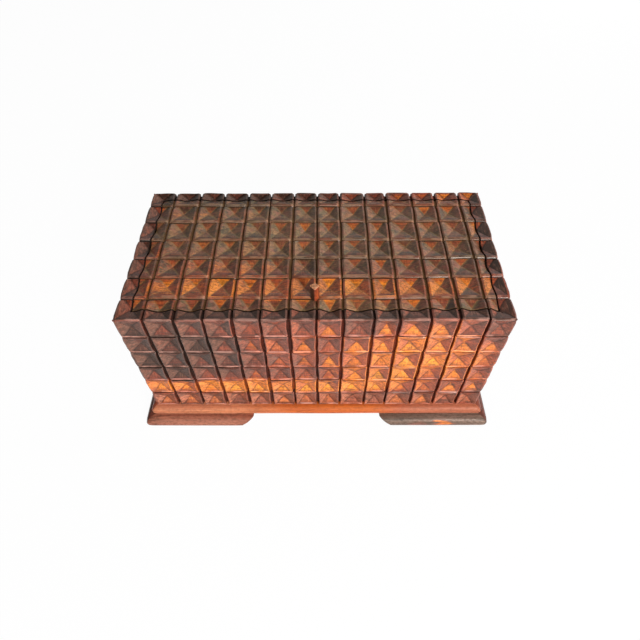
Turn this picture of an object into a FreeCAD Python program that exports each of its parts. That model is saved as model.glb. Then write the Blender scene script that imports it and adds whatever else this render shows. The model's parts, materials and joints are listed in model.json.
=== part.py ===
"""Carved wooden puzzle box: a chip-carved hinged chest on a plinth with bracket feet.

Frame: millimetres, +X along the length, -Y towards the front, +Z up.
The origin is on the ground, under the middle of the box.
"""

import FreeCAD
import Part
import math
import os

Vector = FreeCAD.Vector

# Carved body, outside sizes and the number of carved cells along each side
BODY_LENGTH = 210.0
BODY_DEPTH = 105.0
BODY_HEIGHT = 90.0
COLUMNS = 14
TOP_ROWS = 7
SIDE_ROWS = 6

# Carving: sunk pyramids, deep saw kerfs between columns, fine lines between rows
POCKET_DEPTH = 2.6
POCKET_RIM = 0.7
ARRIS_RIM = 0.6
KERF_WIDTH = 2.1
KERF_FLOOR = 1.2
KERF_DEPTH = 2.3
LINE_WIDTH = 1.0
LINE_FLOOR = 0.3
LINE_DEPTH = 1.1

# Boards
WALL = 7.25
BOTTOM_THICK = 6.0
BOTTOM_GAP = 0.15
LID_THICK = 8.0
LID_GAP = 0.6
LID_SEAT_GAP = 0.1

# Plinth and feet
PLINTH_THICK = 7.5
PLINTH_OVERHANG = 4.1
PLINTH_LEDGE = 2.0
FOOT_HEIGHT = 8.5
FOOT_OVERHANG = 8.9
FOOT_WIDTH = 16.0
FOOT_FRONT_LENGTH = 73.0
FOOT_SIDE_LENGTH = 40.0
FOOT_END_RADIUS = 36.0
FOOT_END_CORNER = 8.0
FOOT_BLOCK = 10.0
FOOT_BLOCK_LIFT = 0.8

# Joinery
SPLINE_THICK = 1.3
SPLINE_WIDTH = 3.8
SPLINE_INSET = 5.3
SPLINE_FOOT = 6.0
SPLINE_HEAD = 14.0
PEG_RADIUS = 1.4
PEG_IN_PLINTH = 5.0
PEG_IN_WALL = 5.0
PEG_COLUMNS = (3, 6)
PEG_ROWS = 1.5
GLUE_GAP = 0.03

# Lid hinge: two pins in the end panels, high up near the back edge
HINGE_DROP = 4.6
HINGE_INSET = 5.2
HINGE_PIN_RADIUS = 1.25
HINGE_PIN_IN_WALL = 4.3
HINGE_PIN_IN_LID = 12.0
RUNNING_GAP = 0.05
END_GAP = 0.3

# Ledges that carry the closed lid
LEDGE_DEPTH = 3.0
LEDGE_HEIGHT = 6.0
LEDGE_HINGE_ROOM = 8.5

# Turning peg and the latch tongue under the lid
TURN_PEG_SIDE = 3.9
TURN_PEG_CHAMFER = 0.4
TURN_PEG_HEIGHT = 10.2
TURN_PEG_POINT = 0.5
TURN_PEG_LIFT = 0.2
SHANK_RADIUS = 1.75
SPACER_RADIUS = 3.0
TONGUE_HALF_WIDTH = 2.2
TONGUE_TAIL = 4.0
TONGUE_THICK = 4.0
TONGUE_GAP = 0.4
SWING_GAP = 0.4
CROSS_PIN_RADIUS = 0.6

# Lock rod in its post, and the secret slide that lifts it
ROD_RADIUS = 1.25
ROD_SIDE_GAP = 0.3
ROD_FRONT_GAP = 0.55
ROD_LIFT = 4.0
ROD_TOP_GAP = 0.6
POST_COVER = 2.0
POST_HALF_WIDTH = 5.0
POST_TOP_GAP = 2.0
SLIDE_TRAVEL = 12.0
SLIDE_HEIGHT = 5.3
SLIDE_FLOOR = 0.8
SLIDE_GAP = 0.1
SLIDE_WIDTH = 4.5
SLIDE_END = 9.0
SLIDE_FOOT_ROOM = 0.6
TAB_LENGTH = 8.0
TAB_WIDTH = 3.0
TAB_DROP = 3.0
KEEPER_FLOOR = 1.5
KEEPER_SIDE = 2.0
KEEPER_END = 6.0

# How far each cutter runs past the face that it cuts
OVERCUT = 0.5

# Levels and faces worked out from the sizes above
PLINTH_Z = FOOT_HEIGHT
BODY_Z = PLINTH_Z + PLINTH_THICK
TOP_Z = BODY_Z + BODY_HEIGHT
HALF_LENGTH = BODY_LENGTH / 2
HALF_DEPTH = BODY_DEPTH / 2
INNER_X = HALF_LENGTH - WALL
INNER_Y = HALF_DEPTH - WALL
FLOOR_Z = BODY_Z + BOTTOM_THICK
LID_Z = TOP_Z - LID_THICK
LID_X = INNER_X - LID_GAP
LID_FRONT_Y = -INNER_Y + LID_GAP
LID_BACK_Y = INNER_Y - LID_GAP
HINGE_Y = LID_BACK_Y - HINGE_INSET
HINGE_Z = TOP_Z - HINGE_DROP
HINGE_ROUND = math.hypot(HINGE_INSET, HINGE_DROP)
LEDGE_TOP = LID_Z - LID_SEAT_GAP
LEDGE_Z = LEDGE_TOP - LEDGE_HEIGHT
PLINTH_INNER_X = INNER_X - PLINTH_LEDGE
PLINTH_INNER_Y = INNER_Y - PLINTH_LEDGE
SOUND_WALL_MIDDLE = (max(POCKET_DEPTH, KERF_DEPTH) + WALL) / 2

# The turning peg stands where the middle kerf meets the first row line behind the front row
TURN_X = -HALF_LENGTH + (COLUMNS // 2) * BODY_LENGTH / COLUMNS
TURN_Y = -HALF_DEPTH + BODY_DEPTH / TOP_ROWS
TONGUE_TOP = LEDGE_Z - TONGUE_GAP
TONGUE_Z = TONGUE_TOP - TONGUE_THICK
TONGUE_REACH = TURN_Y + INNER_Y - SWING_GAP

# The lock rod stands beside the tongue's locked place and in front of its free place
ROD_X = TURN_X + TONGUE_HALF_WIDTH + ROD_SIDE_GAP + ROD_RADIUS
ROD_Y = TURN_Y - TONGUE_HALF_WIDTH - ROD_FRONT_GAP - ROD_RADIUS
ROD_TOP = TONGUE_Z - ROD_TOP_GAP
POST_BACK_Y = ROD_Y + ROD_RADIUS + POST_COVER
SLIDE_TOP = BODY_Z - SLIDE_GAP
SLIDE_Z = SLIDE_TOP - SLIDE_HEIGHT
SLIDE_FRONT_Y = ROD_Y - SLIDE_WIDTH / 2
SLIDE_BACK_Y = ROD_Y + SLIDE_WIDTH / 2
RAMP_SLOPE = ROD_LIFT / SLIDE_TRAVEL
RAMP_LOW = SLIDE_Z + SLIDE_FLOOR
TAB_X = ROD_X - SLIDE_END - TAB_LENGTH
KEEPER_REACH = SLIDE_TRAVEL + SLIDE_END + KEEPER_END
KEEPER_HALF_WIDTH = SLIDE_WIDTH / 2 + SLIDE_GAP + KEEPER_SIDE
KEEPER_Z = SLIDE_Z - SLIDE_GAP - KEEPER_FLOOR


def box(low, high):
    """A box between its lowest and highest corners."""
    size = Vector(*high) - Vector(*low)
    return Part.makeBox(size.x, size.y, size.z, Vector(*low))


def rod(start, direction, radius, length):
    """A round bar from a point along a direction."""
    return Part.makeCylinder(radius, length, Vector(*start), Vector(*direction))


def prism(points, along):
    """A straight prism: a flat outline moved along a vector."""
    corners = [Vector(*point) for point in points]
    outline = Part.makePolygon(corners + corners[:1])
    return Part.Face(outline).extrude(Vector(*along))


def polyhedron(faces):
    """A closed solid from flat faces, each a list of corner points."""
    sides = [Part.Face(Part.makePolygon(corners + corners[:1])) for corners in faces]
    solid = Part.makeSolid(Part.makeShell(sides))
    if solid.Volume < 0:
        solid.reverse()
    return solid


def cut_all(solid, cutters):
    """The solid less every cutter whose box reaches it."""
    near = [cutter for cutter in cutters if cutter.BoundBox.intersect(solid.BoundBox)]
    return solid.cut(near) if near else solid


def mirrored_x(shape):
    """The shape reflected in the plane between left and right."""
    return shape.mirror(Vector(0, 0, 0), Vector(1, 0, 0))


def mirrored_y(shape):
    """The shape reflected in the plane between front and back."""
    return shape.mirror(Vector(0, 0, 0), Vector(0, 1, 0))


class Groove:
    """Section of a groove between cells: width at the face, width of its floor, and depth."""

    def __init__(self, width, floor, depth):
        self.width = width
        self.floor = floor
        self.depth = depth


KERF = Groove(KERF_WIDTH, KERF_FLOOR, KERF_DEPTH)
LINE = Groove(LINE_WIDTH, LINE_FLOOR, LINE_DEPTH)


class CarvedFace:
    """One carved outside face: an origin corner, two directions along it and one out of it."""

    def __init__(self, origin, directions, size, counts, grooves):
        self.origin = Vector(*origin)
        self.along, self.up, self.out = (Vector(*direction) for direction in directions)
        self.length, self.height = size
        self.columns, self.rows = counts
        self.column_groove, self.row_groove = grooves

    def point(self, along, up, out):
        """A point of the model from its place on this face."""
        return self.origin + self.along * along + self.up * up + self.out * out

    @staticmethod
    def pocket_span(index, count, step, groove):
        """Where a cell's pocket starts and ends across the grooves or arrises beside it."""
        before = ARRIS_RIM if index == 0 else groove.width / 2
        after = ARRIS_RIM if index == count - 1 else groove.width / 2
        return index * step + before + POCKET_RIM, (index + 1) * step - after - POCKET_RIM

    def pocket(self, column, row):
        """The sunk pyramid of one cell, carried a little above the face."""
        step, rise = self.length / self.columns, self.height / self.rows
        left, right = self.pocket_span(column, self.columns, step, self.column_groove)
        low, high = self.pocket_span(row, self.rows, rise, self.row_groove)
        middle_along, middle_up = (left + right) / 2, (low + high) / 2
        grow = 1 + OVERCUT / POCKET_DEPTH
        half_along, half_up = (right - left) / 2 * grow, (high - low) / 2 * grow
        signs = [(-1, -1), (1, -1), (1, 1), (-1, 1)]
        brim = [self.point(middle_along + a * half_along, middle_up + b * half_up, OVERCUT)
                for a, b in signs]
        apex = self.point(middle_along, middle_up, -POCKET_DEPTH)
        sides = [[brim[i], brim[(i + 1) % len(brim)], apex] for i in range(len(brim))]
        return polyhedron(sides + [brim[::-1]])

    def groove_section(self, groove):
        """Outline of a groove as (across, out) pairs, carried a little above the face."""
        flare = (groove.width - groove.floor) / 2 / groove.depth
        top = groove.width / 2 + flare * OVERCUT
        floor = groove.floor / 2
        return [(-top, OVERCUT), (-floor, -groove.depth), (floor, -groove.depth), (top, OVERCUT)]

    def column_cuts(self):
        """The grooves that stand between columns."""
        step = self.length / self.columns
        run = self.up * (self.height + 2 * OVERCUT)
        section = self.groove_section(self.column_groove)
        for i in range(1, self.columns):
            yield prism([self.point(i * step + across, -OVERCUT, out) for across, out in section], run)

    def row_cuts(self):
        """The grooves that lie between rows."""
        step = self.height / self.rows
        run = self.along * (self.length + 2 * OVERCUT)
        section = self.groove_section(self.row_groove)
        for j in range(1, self.rows):
            yield prism([self.point(-OVERCUT, j * step + across, out) for across, out in section], run)

    def cutters(self):
        """Every pocket and groove of this face."""
        pockets = [self.pocket(i, j) for i in range(self.columns) for j in range(self.rows)]
        return pockets + list(self.column_cuts()) + list(self.row_cuts())


def front_carving():
    """Carving of the front face; the back has the same, reflected."""
    return CarvedFace(
        (-HALF_LENGTH, -HALF_DEPTH, BODY_Z), ((1, 0, 0), (0, 0, 1), (0, -1, 0)),
        (BODY_LENGTH, BODY_HEIGHT), (COLUMNS, SIDE_ROWS), (KERF, LINE))


def left_carving():
    """Carving of the left end; the right end has the same, reflected."""
    return CarvedFace(
        (-HALF_LENGTH, -HALF_DEPTH, BODY_Z), ((0, 1, 0), (0, 0, 1), (-1, 0, 0)),
        (BODY_DEPTH, BODY_HEIGHT), (TOP_ROWS, SIDE_ROWS), (LINE, LINE))


def top_carving():
    """Carving of the whole top, shared by the lid and the top edges of the walls."""
    return CarvedFace(
        (-HALF_LENGTH, -HALF_DEPTH, TOP_Z), ((1, 0, 0), (0, 1, 0), (0, 0, 1)),
        (BODY_LENGTH, BODY_DEPTH), (COLUMNS, TOP_ROWS), (KERF, LINE))


def front_blank():
    """Front board with mitred ends, before carving."""
    outline = [
        (-HALF_LENGTH, -HALF_DEPTH, BODY_Z), (HALF_LENGTH, -HALF_DEPTH, BODY_Z),
        (INNER_X, -INNER_Y, BODY_Z), (-INNER_X, -INNER_Y, BODY_Z)]
    return prism(outline, (0, 0, BODY_HEIGHT))


def left_blank():
    """Left end board with mitred ends, before carving."""
    outline = [
        (-HALF_LENGTH, -HALF_DEPTH, BODY_Z), (-INNER_X, -INNER_Y, BODY_Z),
        (-INNER_X, INNER_Y, BODY_Z), (-HALF_LENGTH, HALF_DEPTH, BODY_Z)]
    return prism(outline, (0, 0, BODY_HEIGHT))


def corner_spline(gap):
    """Loose tongue across the front left mitre, swollen by a gap for its groove."""
    middle = Vector(-HALF_LENGTH + SPLINE_INSET, -HALF_DEPTH + SPLINE_INSET, BODY_Z + SPLINE_FOOT - gap)
    across = Vector(1, -1, 0).normalize() * (SPLINE_WIDTH / 2 + gap)
    through = Vector(1, 1, 0).normalize() * (SPLINE_THICK / 2 + gap)
    corners = [middle - across - through, middle + across - through,
               middle + across + through, middle - across + through]
    return prism(corners, (0, 0, BODY_HEIGHT - SPLINE_FOOT - SPLINE_HEAD + 2 * gap))


def four_corners(shape):
    """A front left piece and its three reflections, by corner name."""
    right = mirrored_x(shape)
    return {
        "front_left": shape, "front_right": right,
        "back_left": mirrored_y(shape), "back_right": mirrored_y(right)}


def peg_places():
    """Middles of the pegs that hold the walls to the plinth."""
    wall_x = HALF_LENGTH - SOUND_WALL_MIDDLE
    wall_y = HALF_DEPTH - SOUND_WALL_MIDDLE
    for side in (-1, 1):
        for way in (-1, 1):
            for columns in PEG_COLUMNS:
                yield way * columns * BODY_LENGTH / COLUMNS, side * wall_y
            yield side * wall_x, way * PEG_ROWS * BODY_DEPTH / TOP_ROWS


def plinth_pegs(gap):
    """Wooden pegs between plinth and walls, swollen by a gap for their holes."""
    length = PEG_IN_PLINTH + PEG_IN_WALL + 2 * gap
    return [rod((x, y, BODY_Z - PEG_IN_PLINTH - gap), (0, 0, 1), PEG_RADIUS + gap, length)
            for x, y in peg_places()]


def hinge_pin_in_wall(gap):
    """The stretch of the left hinge pin in the end panel, swollen by a gap for its hole."""
    start = -INNER_X - HINGE_PIN_IN_WALL - gap
    return rod((start, HINGE_Y, HINGE_Z), (1, 0, 0), HINGE_PIN_RADIUS + gap, -LID_X - start)


def hinge_pin_in_lid(gap, end_gap):
    """The stretch of the left hinge pin in the lid, swollen by gaps for its hole."""
    return rod((-LID_X, HINGE_Y, HINGE_Z), (1, 0, 0), HINGE_PIN_RADIUS + gap, HINGE_PIN_IN_LID + end_gap)


def walls():
    """The four carved boards, cut for their splines, pegs, hinge pins and the lid's round back."""
    front_cuts = front_carving().cutters()
    left_cuts = left_carving().cutters() + [hinge_pin_in_wall(GLUE_GAP)]
    back_cuts = [mirrored_y(cutter) for cutter in front_cuts]
    back_cuts.append(rod((-INNER_X, HINGE_Y, HINGE_Z), (1, 0, 0), HINGE_ROUND + LID_GAP, 2 * INNER_X))
    right_cuts = [mirrored_x(cutter) for cutter in left_cuts]
    shared = top_carving().cutters() + plinth_pegs(GLUE_GAP)
    shared += four_corners(corner_spline(GLUE_GAP)).values()
    return {
        "front_panel": cut_all(front_blank(), front_cuts + shared),
        "back_panel": cut_all(mirrored_y(front_blank()), back_cuts + shared),
        "left_end_panel": cut_all(left_blank(), left_cuts + shared),
        "right_end_panel": cut_all(mirrored_x(left_blank()), right_cuts + shared)}


def lid_panel():
    """Carved lid with a round back edge, cut for its hinge pins and the turning peg."""
    reach = math.sqrt(HINGE_ROUND ** 2 - (HINGE_Z - LID_Z) ** 2)
    front_low = Vector(-LID_X, LID_FRONT_Y, LID_Z)
    front_high = Vector(-LID_X, LID_FRONT_Y, TOP_Z)
    back_high = Vector(-LID_X, LID_BACK_Y, TOP_Z)
    back_most = Vector(-LID_X, HINGE_Y + HINGE_ROUND, HINGE_Z)
    back_low = Vector(-LID_X, HINGE_Y + reach, LID_Z)
    edges = [
        Part.makeLine(back_low, front_low), Part.makeLine(front_low, front_high),
        Part.makeLine(front_high, back_high), Part.Arc(back_high, back_most, back_low).toShape()]
    blank = Part.Face(Part.Wire(edges)).extrude(Vector(2 * LID_X, 0, 0))
    pin_hole = hinge_pin_in_lid(RUNNING_GAP, END_GAP)
    peg_hole = rod((TURN_X, TURN_Y, LID_Z - OVERCUT), (0, 0, 1), SHANK_RADIUS + RUNNING_GAP,
                   LID_THICK + 2 * OVERCUT)
    return cut_all(blank, top_carving().cutters() + [pin_hole, mirrored_x(pin_hole), peg_hole])


def bottom_board():
    """Plain board that lies on the plinth inside the walls, with a hole for the lock rod."""
    high_x, high_y = INNER_X - BOTTOM_GAP, INNER_Y - BOTTOM_GAP
    board = box((-high_x, -high_y, BODY_Z), (high_x, high_y, FLOOR_Z))
    return board.cut(rod((ROD_X, ROD_Y, BODY_Z - OVERCUT), (0, 0, 1), ROD_RADIUS + RUNNING_GAP,
                         BOTTOM_THICK + 2 * OVERCUT))


def round_edged_strip(outer, inner, low, high, half_run, end_inner):
    """Front strip with a half-round outer edge and mitred ends, placed by distances from the middle."""
    radius = (high - low) / 2
    crown = outer - radius
    low_edge, high_edge = Vector(-half_run, -crown, low), Vector(-half_run, -crown, high)
    low_back, high_back = Vector(-half_run, -inner, low), Vector(-half_run, -inner, high)
    nose = Part.Arc(low_edge, Vector(-half_run, -outer, (low + high) / 2), high_edge).toShape()
    edges = [nose, Part.makeLine(high_edge, high_back), Part.makeLine(high_back, low_back),
             Part.makeLine(low_back, low_edge)]
    strip = Part.Face(Part.Wire(edges)).extrude(Vector(2 * half_run, 0, 0))
    plan = [(-half_run, -outer, low), (half_run, -outer, low),
            (end_inner, -inner, low), (-end_inner, -inner, low)]
    return strip.common(prism(plan, (0, 0, high - low)))


def turned_quarter(shape):
    """The shape turned a quarter about Z, so that a front strip becomes a left strip."""
    turned = shape.copy()
    turned.rotate(Vector(0, 0, 0), Vector(0, 0, 1), -90)
    return turned


def plinth_rails():
    """Four mitred rails with round noses; the walls stand on them, and the front one lets in the keeper."""
    outer_x, outer_y = HALF_LENGTH + PLINTH_OVERHANG, HALF_DEPTH + PLINTH_OVERHANG
    front = round_edged_strip(outer_y, PLINTH_INNER_Y, PLINTH_Z, BODY_Z, outer_x, PLINTH_INNER_X)
    side = round_edged_strip(outer_x, PLINTH_INNER_X, PLINTH_Z, BODY_Z, outer_y, PLINTH_INNER_Y)
    left = turned_quarter(side)
    holes = plinth_pegs(GLUE_GAP)
    notch = box((ROD_X - KEEPER_REACH - GLUE_GAP, ROD_Y - KEEPER_HALF_WIDTH - GLUE_GAP, PLINTH_Z - OVERCUT),
                (ROD_X + KEEPER_REACH + GLUE_GAP, ROD_Y + KEEPER_HALF_WIDTH, BODY_Z + OVERCUT))
    return {
        "front_plinth_rail": cut_all(front, holes + [notch]),
        "back_plinth_rail": cut_all(mirrored_y(front), holes),
        "left_plinth_rail": cut_all(left, holes),
        "right_plinth_rail": cut_all(mirrored_x(left), holes)}


def foot_corner_cut(length, outer_end, reach):
    """Cutter that rounds the outer corner of a front foot's inner end, as seen from above."""
    end_x = -outer_end + length
    centre_x, centre_y = end_x - FOOT_END_CORNER, -reach + FOOT_END_CORNER
    corner = box((centre_x, -reach - OVERCUT, -OVERCUT), (end_x + OVERCUT, centre_y, FOOT_HEIGHT + OVERCUT))
    kept = Part.makeCylinder(FOOT_END_CORNER, FOOT_HEIGHT + 2 * OVERCUT, Vector(centre_x, centre_y, -OVERCUT))
    return corner.cut(kept)


def foot_end_cut(length, outer_end, reach):
    """Cutter that leaves a front foot its length and rounds the lower corner of its inner end."""
    end_x = -outer_end + length
    run = math.sqrt(FOOT_END_RADIUS ** 2 - (FOOT_END_RADIUS - FOOT_HEIGHT) ** 2)
    start = Vector(end_x - run, 0, 0)
    turn = math.asin(run / FOOT_END_RADIUS) / 2
    sideways, rise = FOOT_END_RADIUS * math.sin(turn), FOOT_END_RADIUS * (1 - math.cos(turn))
    middle = Vector(start.x + sideways, 0, rise)
    top = Vector(end_x, 0, FOOT_HEIGHT)
    over = Vector(end_x, 0, FOOT_HEIGHT + OVERCUT)
    far_top = Vector(outer_end + OVERCUT, 0, FOOT_HEIGHT + OVERCUT)
    far_low = Vector(outer_end + OVERCUT, 0, -OVERCUT)
    low = Vector(start.x, 0, -OVERCUT)
    corners = [top, over, far_top, far_low, low, start]
    edges = [Part.Arc(start, middle, top).toShape()]
    edges += [Part.makeLine(a, b) for a, b in zip(corners, corners[1:])]
    return Part.Face(Part.Wire(edges)).extrude(Vector(0, -reach - OVERCUT, 0))


def feet():
    """Eight bracket strips, two mitred together at each corner, and the glue block behind each pair."""
    outer_x, outer_y = HALF_LENGTH + FOOT_OVERHANG, HALF_DEPTH + FOOT_OVERHANG
    inner_x, inner_y = outer_x - FOOT_WIDTH, outer_y - FOOT_WIDTH
    face = round_edged_strip(outer_y, inner_y, 0, FOOT_HEIGHT, outer_x, inner_x)
    side = round_edged_strip(outer_x, inner_x, 0, FOOT_HEIGHT, outer_y, inner_y)
    for cutter in (foot_end_cut, foot_corner_cut):
        face = face.cut(cutter(FOOT_FRONT_LENGTH, outer_x, outer_y))
        side = side.cut(cutter(FOOT_SIDE_LENGTH, outer_y, outer_x))
    side = mirrored_y(turned_quarter(side))
    block = box((-inner_x, -inner_y, FOOT_BLOCK_LIFT),
                (-inner_x + FOOT_BLOCK, -inner_y + FOOT_BLOCK, FOOT_HEIGHT))
    nodes = {}
    for kind, shape in (("foot_face", face), ("foot_return", side), ("foot_block", block)):
        nodes.update({f"{corner}_{kind}": piece for corner, piece in four_corners(shape).items()})
    return nodes


def ledges():
    """Strips inside the walls that the closed lid lies on; the side ones stop short of the hinge."""
    side_end = HINGE_Y - LEDGE_HINGE_ROOM
    front = box((-INNER_X, -INNER_Y, LEDGE_Z), (INNER_X, -INNER_Y + LEDGE_DEPTH, LEDGE_TOP))
    left = box((-INNER_X, -INNER_Y + LEDGE_DEPTH, LEDGE_Z), (-INNER_X + LEDGE_DEPTH, side_end, LEDGE_TOP))
    return {"front_ledge": front, "left_ledge": left, "right_ledge": mirrored_x(left)}


def hinge_pins():
    """Two steel pins on the hinge line."""
    pin = hinge_pin_in_wall(0).fuse(hinge_pin_in_lid(0, 0)).removeSplitter()
    return {"left_hinge_pin": pin, "right_hinge_pin": mirrored_x(pin)}


def cross_pin(gap):
    """Small pin through tongue and peg, swollen by a gap for its hole."""
    return rod((TURN_X, TURN_Y - TONGUE_HALF_WIDTH, TONGUE_Z + TONGUE_THICK / 2), (0, 1, 0),
               CROSS_PIN_RADIUS + gap, 2 * TONGUE_HALF_WIDTH)


def turning_peg():
    """Whittled square peg with a blunt point, on a round shank that reaches down to the tongue."""
    half, chamfer = TURN_PEG_SIDE / 2, TURN_PEG_CHAMFER
    base, tip = TOP_Z + TURN_PEG_LIFT, TOP_Z + TURN_PEG_HEIGHT
    near = half - chamfer
    ring = [(near, -half), (half, -near), (half, near), (near, half),
            (-near, half), (-half, near), (-half, -near), (-near, -half)]
    head = prism([(x, y, base) for x, y in ring], (0, 0, tip - TURN_PEG_POINT - base))
    shrink = 1 - TURN_PEG_POINT / half
    rim = [Vector(x, y, tip - TURN_PEG_POINT) for x, y in ring]
    crown = [Vector(x * shrink, y * shrink, tip) for x, y in ring]
    count = len(ring)
    slopes = [[rim[i], rim[(i + 1) % count], crown[(i + 1) % count], crown[i]] for i in range(count)]
    head = head.fuse(polyhedron(slopes + [rim[::-1], crown])).removeSplitter()
    head.rotate(Vector(0, 0, 0), Vector(0, 0, 1), 45)
    head.translate(Vector(TURN_X, TURN_Y, 0))
    shank = rod((TURN_X, TURN_Y, TONGUE_Z), (0, 0, 1), SHANK_RADIUS, base - TONGUE_Z)
    return head.fuse(shank).removeSplitter().cut(cross_pin(GLUE_GAP))


def latch():
    """Turning peg with the spacer, tongue and cross pin that it carries under the lid."""
    bar = box((TURN_X - TONGUE_TAIL, TURN_Y - TONGUE_HALF_WIDTH, TONGUE_Z),
              (TURN_X + TONGUE_REACH, TURN_Y + TONGUE_HALF_WIDTH, TONGUE_TOP))
    sweep = rod((TURN_X, TURN_Y, TONGUE_Z), (0, 0, 1), TONGUE_REACH, TONGUE_THICK)
    bore = rod((TURN_X, TURN_Y, TONGUE_Z), (0, 0, 1), SHANK_RADIUS + GLUE_GAP, TOP_Z - TONGUE_Z)
    tongue = bar.common(sweep).cut([bore, cross_pin(GLUE_GAP)])
    spacer = rod((TURN_X, TURN_Y, TONGUE_TOP), (0, 0, 1), SPACER_RADIUS, LID_Z - RUNNING_GAP - TONGUE_TOP)
    return {"turning_peg": turning_peg(), "latch_tongue": tongue, "latch_spacer": spacer.cut(bore),
            "latch_cross_pin": cross_pin(0)}


def lock_post():
    """Post glued behind the front panel that guides the lock rod."""
    low = (ROD_X - POST_HALF_WIDTH, -INNER_Y, FLOOR_Z)
    high = (ROD_X + POST_HALF_WIDTH, POST_BACK_Y, TONGUE_Z - POST_TOP_GAP)
    bore = rod((ROD_X, ROD_Y, FLOOR_Z - OVERCUT), (0, 0, 1), ROD_RADIUS + RUNNING_GAP,
               high[2] - FLOOR_Z + 2 * OVERCUT)
    return box(low, high).cut(bore)


def lock_rod():
    """Dowel with a round lower end that rides on the ramp, clear of it by the slide's gap."""
    slope = math.atan(RAMP_SLOPE)
    centre_z = RAMP_LOW + (ROD_RADIUS + SLIDE_GAP) / math.cos(slope)
    shaft = rod((ROD_X, ROD_Y, centre_z), (0, 0, 1), ROD_RADIUS, ROD_TOP - centre_z)
    return shaft.fuse(Part.makeSphere(ROD_RADIUS, Vector(ROD_X, ROD_Y, centre_z))).removeSplitter()


def secret_slide():
    """Hidden bar under the lock rod; its ramp lifts the rod, and a tab below moves it."""
    left, right = ROD_X - SLIDE_TRAVEL - SLIDE_END, ROD_X + SLIDE_END
    bar = box((left, SLIDE_FRONT_Y, SLIDE_Z), (right, SLIDE_BACK_Y, SLIDE_TOP))
    low_end = ROD_X + ROD_RADIUS + SLIDE_FOOT_ROOM
    over = SLIDE_TOP + OVERCUT
    high_end = ROD_X - (over - RAMP_LOW) / RAMP_SLOPE
    outline = [(high_end, SLIDE_FRONT_Y, over), (ROD_X, SLIDE_FRONT_Y, RAMP_LOW),
               (low_end, SLIDE_FRONT_Y, RAMP_LOW), (low_end, SLIDE_FRONT_Y, over)]
    ramp = prism(outline, (0, SLIDE_WIDTH, 0))
    tab = box((TAB_X, ROD_Y - TAB_WIDTH / 2, SLIDE_Z - TAB_DROP),
              (TAB_X + TAB_LENGTH, ROD_Y + TAB_WIDTH / 2, SLIDE_Z))
    return bar.cut(ramp).fuse(tab).removeSplitter()


def slide_keeper():
    """Trough let into the front rail that holds the slide up, with a window for the slide's tab."""
    left, right = ROD_X - KEEPER_REACH, ROD_X + KEEPER_REACH
    strip = box((left, ROD_Y - KEEPER_HALF_WIDTH, KEEPER_Z), (right, ROD_Y + KEEPER_HALF_WIDTH, BODY_Z))
    channel = box((left - OVERCUT, SLIDE_FRONT_Y - SLIDE_GAP, SLIDE_Z - SLIDE_GAP),
                  (right + OVERCUT, SLIDE_BACK_Y + SLIDE_GAP, BODY_Z + OVERCUT))
    half = TAB_WIDTH / 2 + SLIDE_GAP
    window = box((TAB_X - SLIDE_GAP, ROD_Y - half, KEEPER_Z - OVERCUT),
                 (TAB_X + TAB_LENGTH + SLIDE_TRAVEL + SLIDE_GAP, ROD_Y + half, SLIDE_Z))
    return strip.cut([channel, window])


def all_nodes():
    """Every piece by its name."""
    nodes = walls()
    for corner, spline in four_corners(corner_spline(0)).items():
        nodes[f"{corner}_spline"] = spline
    nodes["bottom_board"] = bottom_board()
    nodes.update(plinth_rails())
    nodes.update(feet())
    nodes["plinth_pegs"] = Part.makeCompound(plinth_pegs(0))
    nodes.update(ledges())
    nodes.update(hinge_pins())
    nodes["lid_panel"] = lid_panel()
    nodes.update(latch())
    nodes["lock_post"] = lock_post()
    nodes["lock_rod"] = lock_rod()
    nodes["secret_slide"] = secret_slide()
    nodes["slide_keeper"] = slide_keeper()
    return nodes


def main():
    """Builds every piece, prints what it is and writes one STEP file each."""
    os.makedirs("parts", exist_ok=True)
    for name, shape in all_nodes().items():
        print(f"{name}: {len(shape.Solids)} solid(s), {shape.Volume:.1f} mm3, valid {shape.isValid()}")
        shape.exportStep(f"parts/{name}.step")


main()
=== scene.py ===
"""Dresses the wooden puzzle box: carved boards, plinth, feet, latch, lock, finishes, light and camera."""

import json
import logging
import math
from collections.abc import Callable, Sequence
from dataclasses import dataclass, field
from enum import Enum, IntEnum

import bmesh
import bpy
import numpy as np
from mathutils import Matrix, Vector


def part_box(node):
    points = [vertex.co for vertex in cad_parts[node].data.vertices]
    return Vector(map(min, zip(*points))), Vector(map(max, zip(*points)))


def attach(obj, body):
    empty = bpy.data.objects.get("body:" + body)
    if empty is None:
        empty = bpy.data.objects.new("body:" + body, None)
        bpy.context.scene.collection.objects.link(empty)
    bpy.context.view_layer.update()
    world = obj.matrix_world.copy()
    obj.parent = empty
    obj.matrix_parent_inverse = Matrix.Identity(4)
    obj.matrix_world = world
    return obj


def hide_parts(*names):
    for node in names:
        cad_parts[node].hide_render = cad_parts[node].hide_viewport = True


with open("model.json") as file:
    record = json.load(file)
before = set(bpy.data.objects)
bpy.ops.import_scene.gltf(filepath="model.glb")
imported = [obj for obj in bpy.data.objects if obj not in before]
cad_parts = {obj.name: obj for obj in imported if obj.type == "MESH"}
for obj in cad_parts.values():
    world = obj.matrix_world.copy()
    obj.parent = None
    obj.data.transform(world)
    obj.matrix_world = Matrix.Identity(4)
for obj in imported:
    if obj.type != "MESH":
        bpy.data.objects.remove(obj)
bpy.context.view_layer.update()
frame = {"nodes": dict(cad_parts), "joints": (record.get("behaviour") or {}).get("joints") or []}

MM = 0.001
LOG = logging.getLogger("puzzle_box")

# Distances in metres within which points count as one, and angles in degrees at which an edge counts.
SAW_TOUCH = 1e-7
SOLID_WELD = 1e-6
SHEET_WELD = 5e-6
FLAT_ANGLE = 0.5
FACET_ANGLE = 14.0
EASED_ANGLE = 38.0
EASED_STEPS = 2

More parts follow.
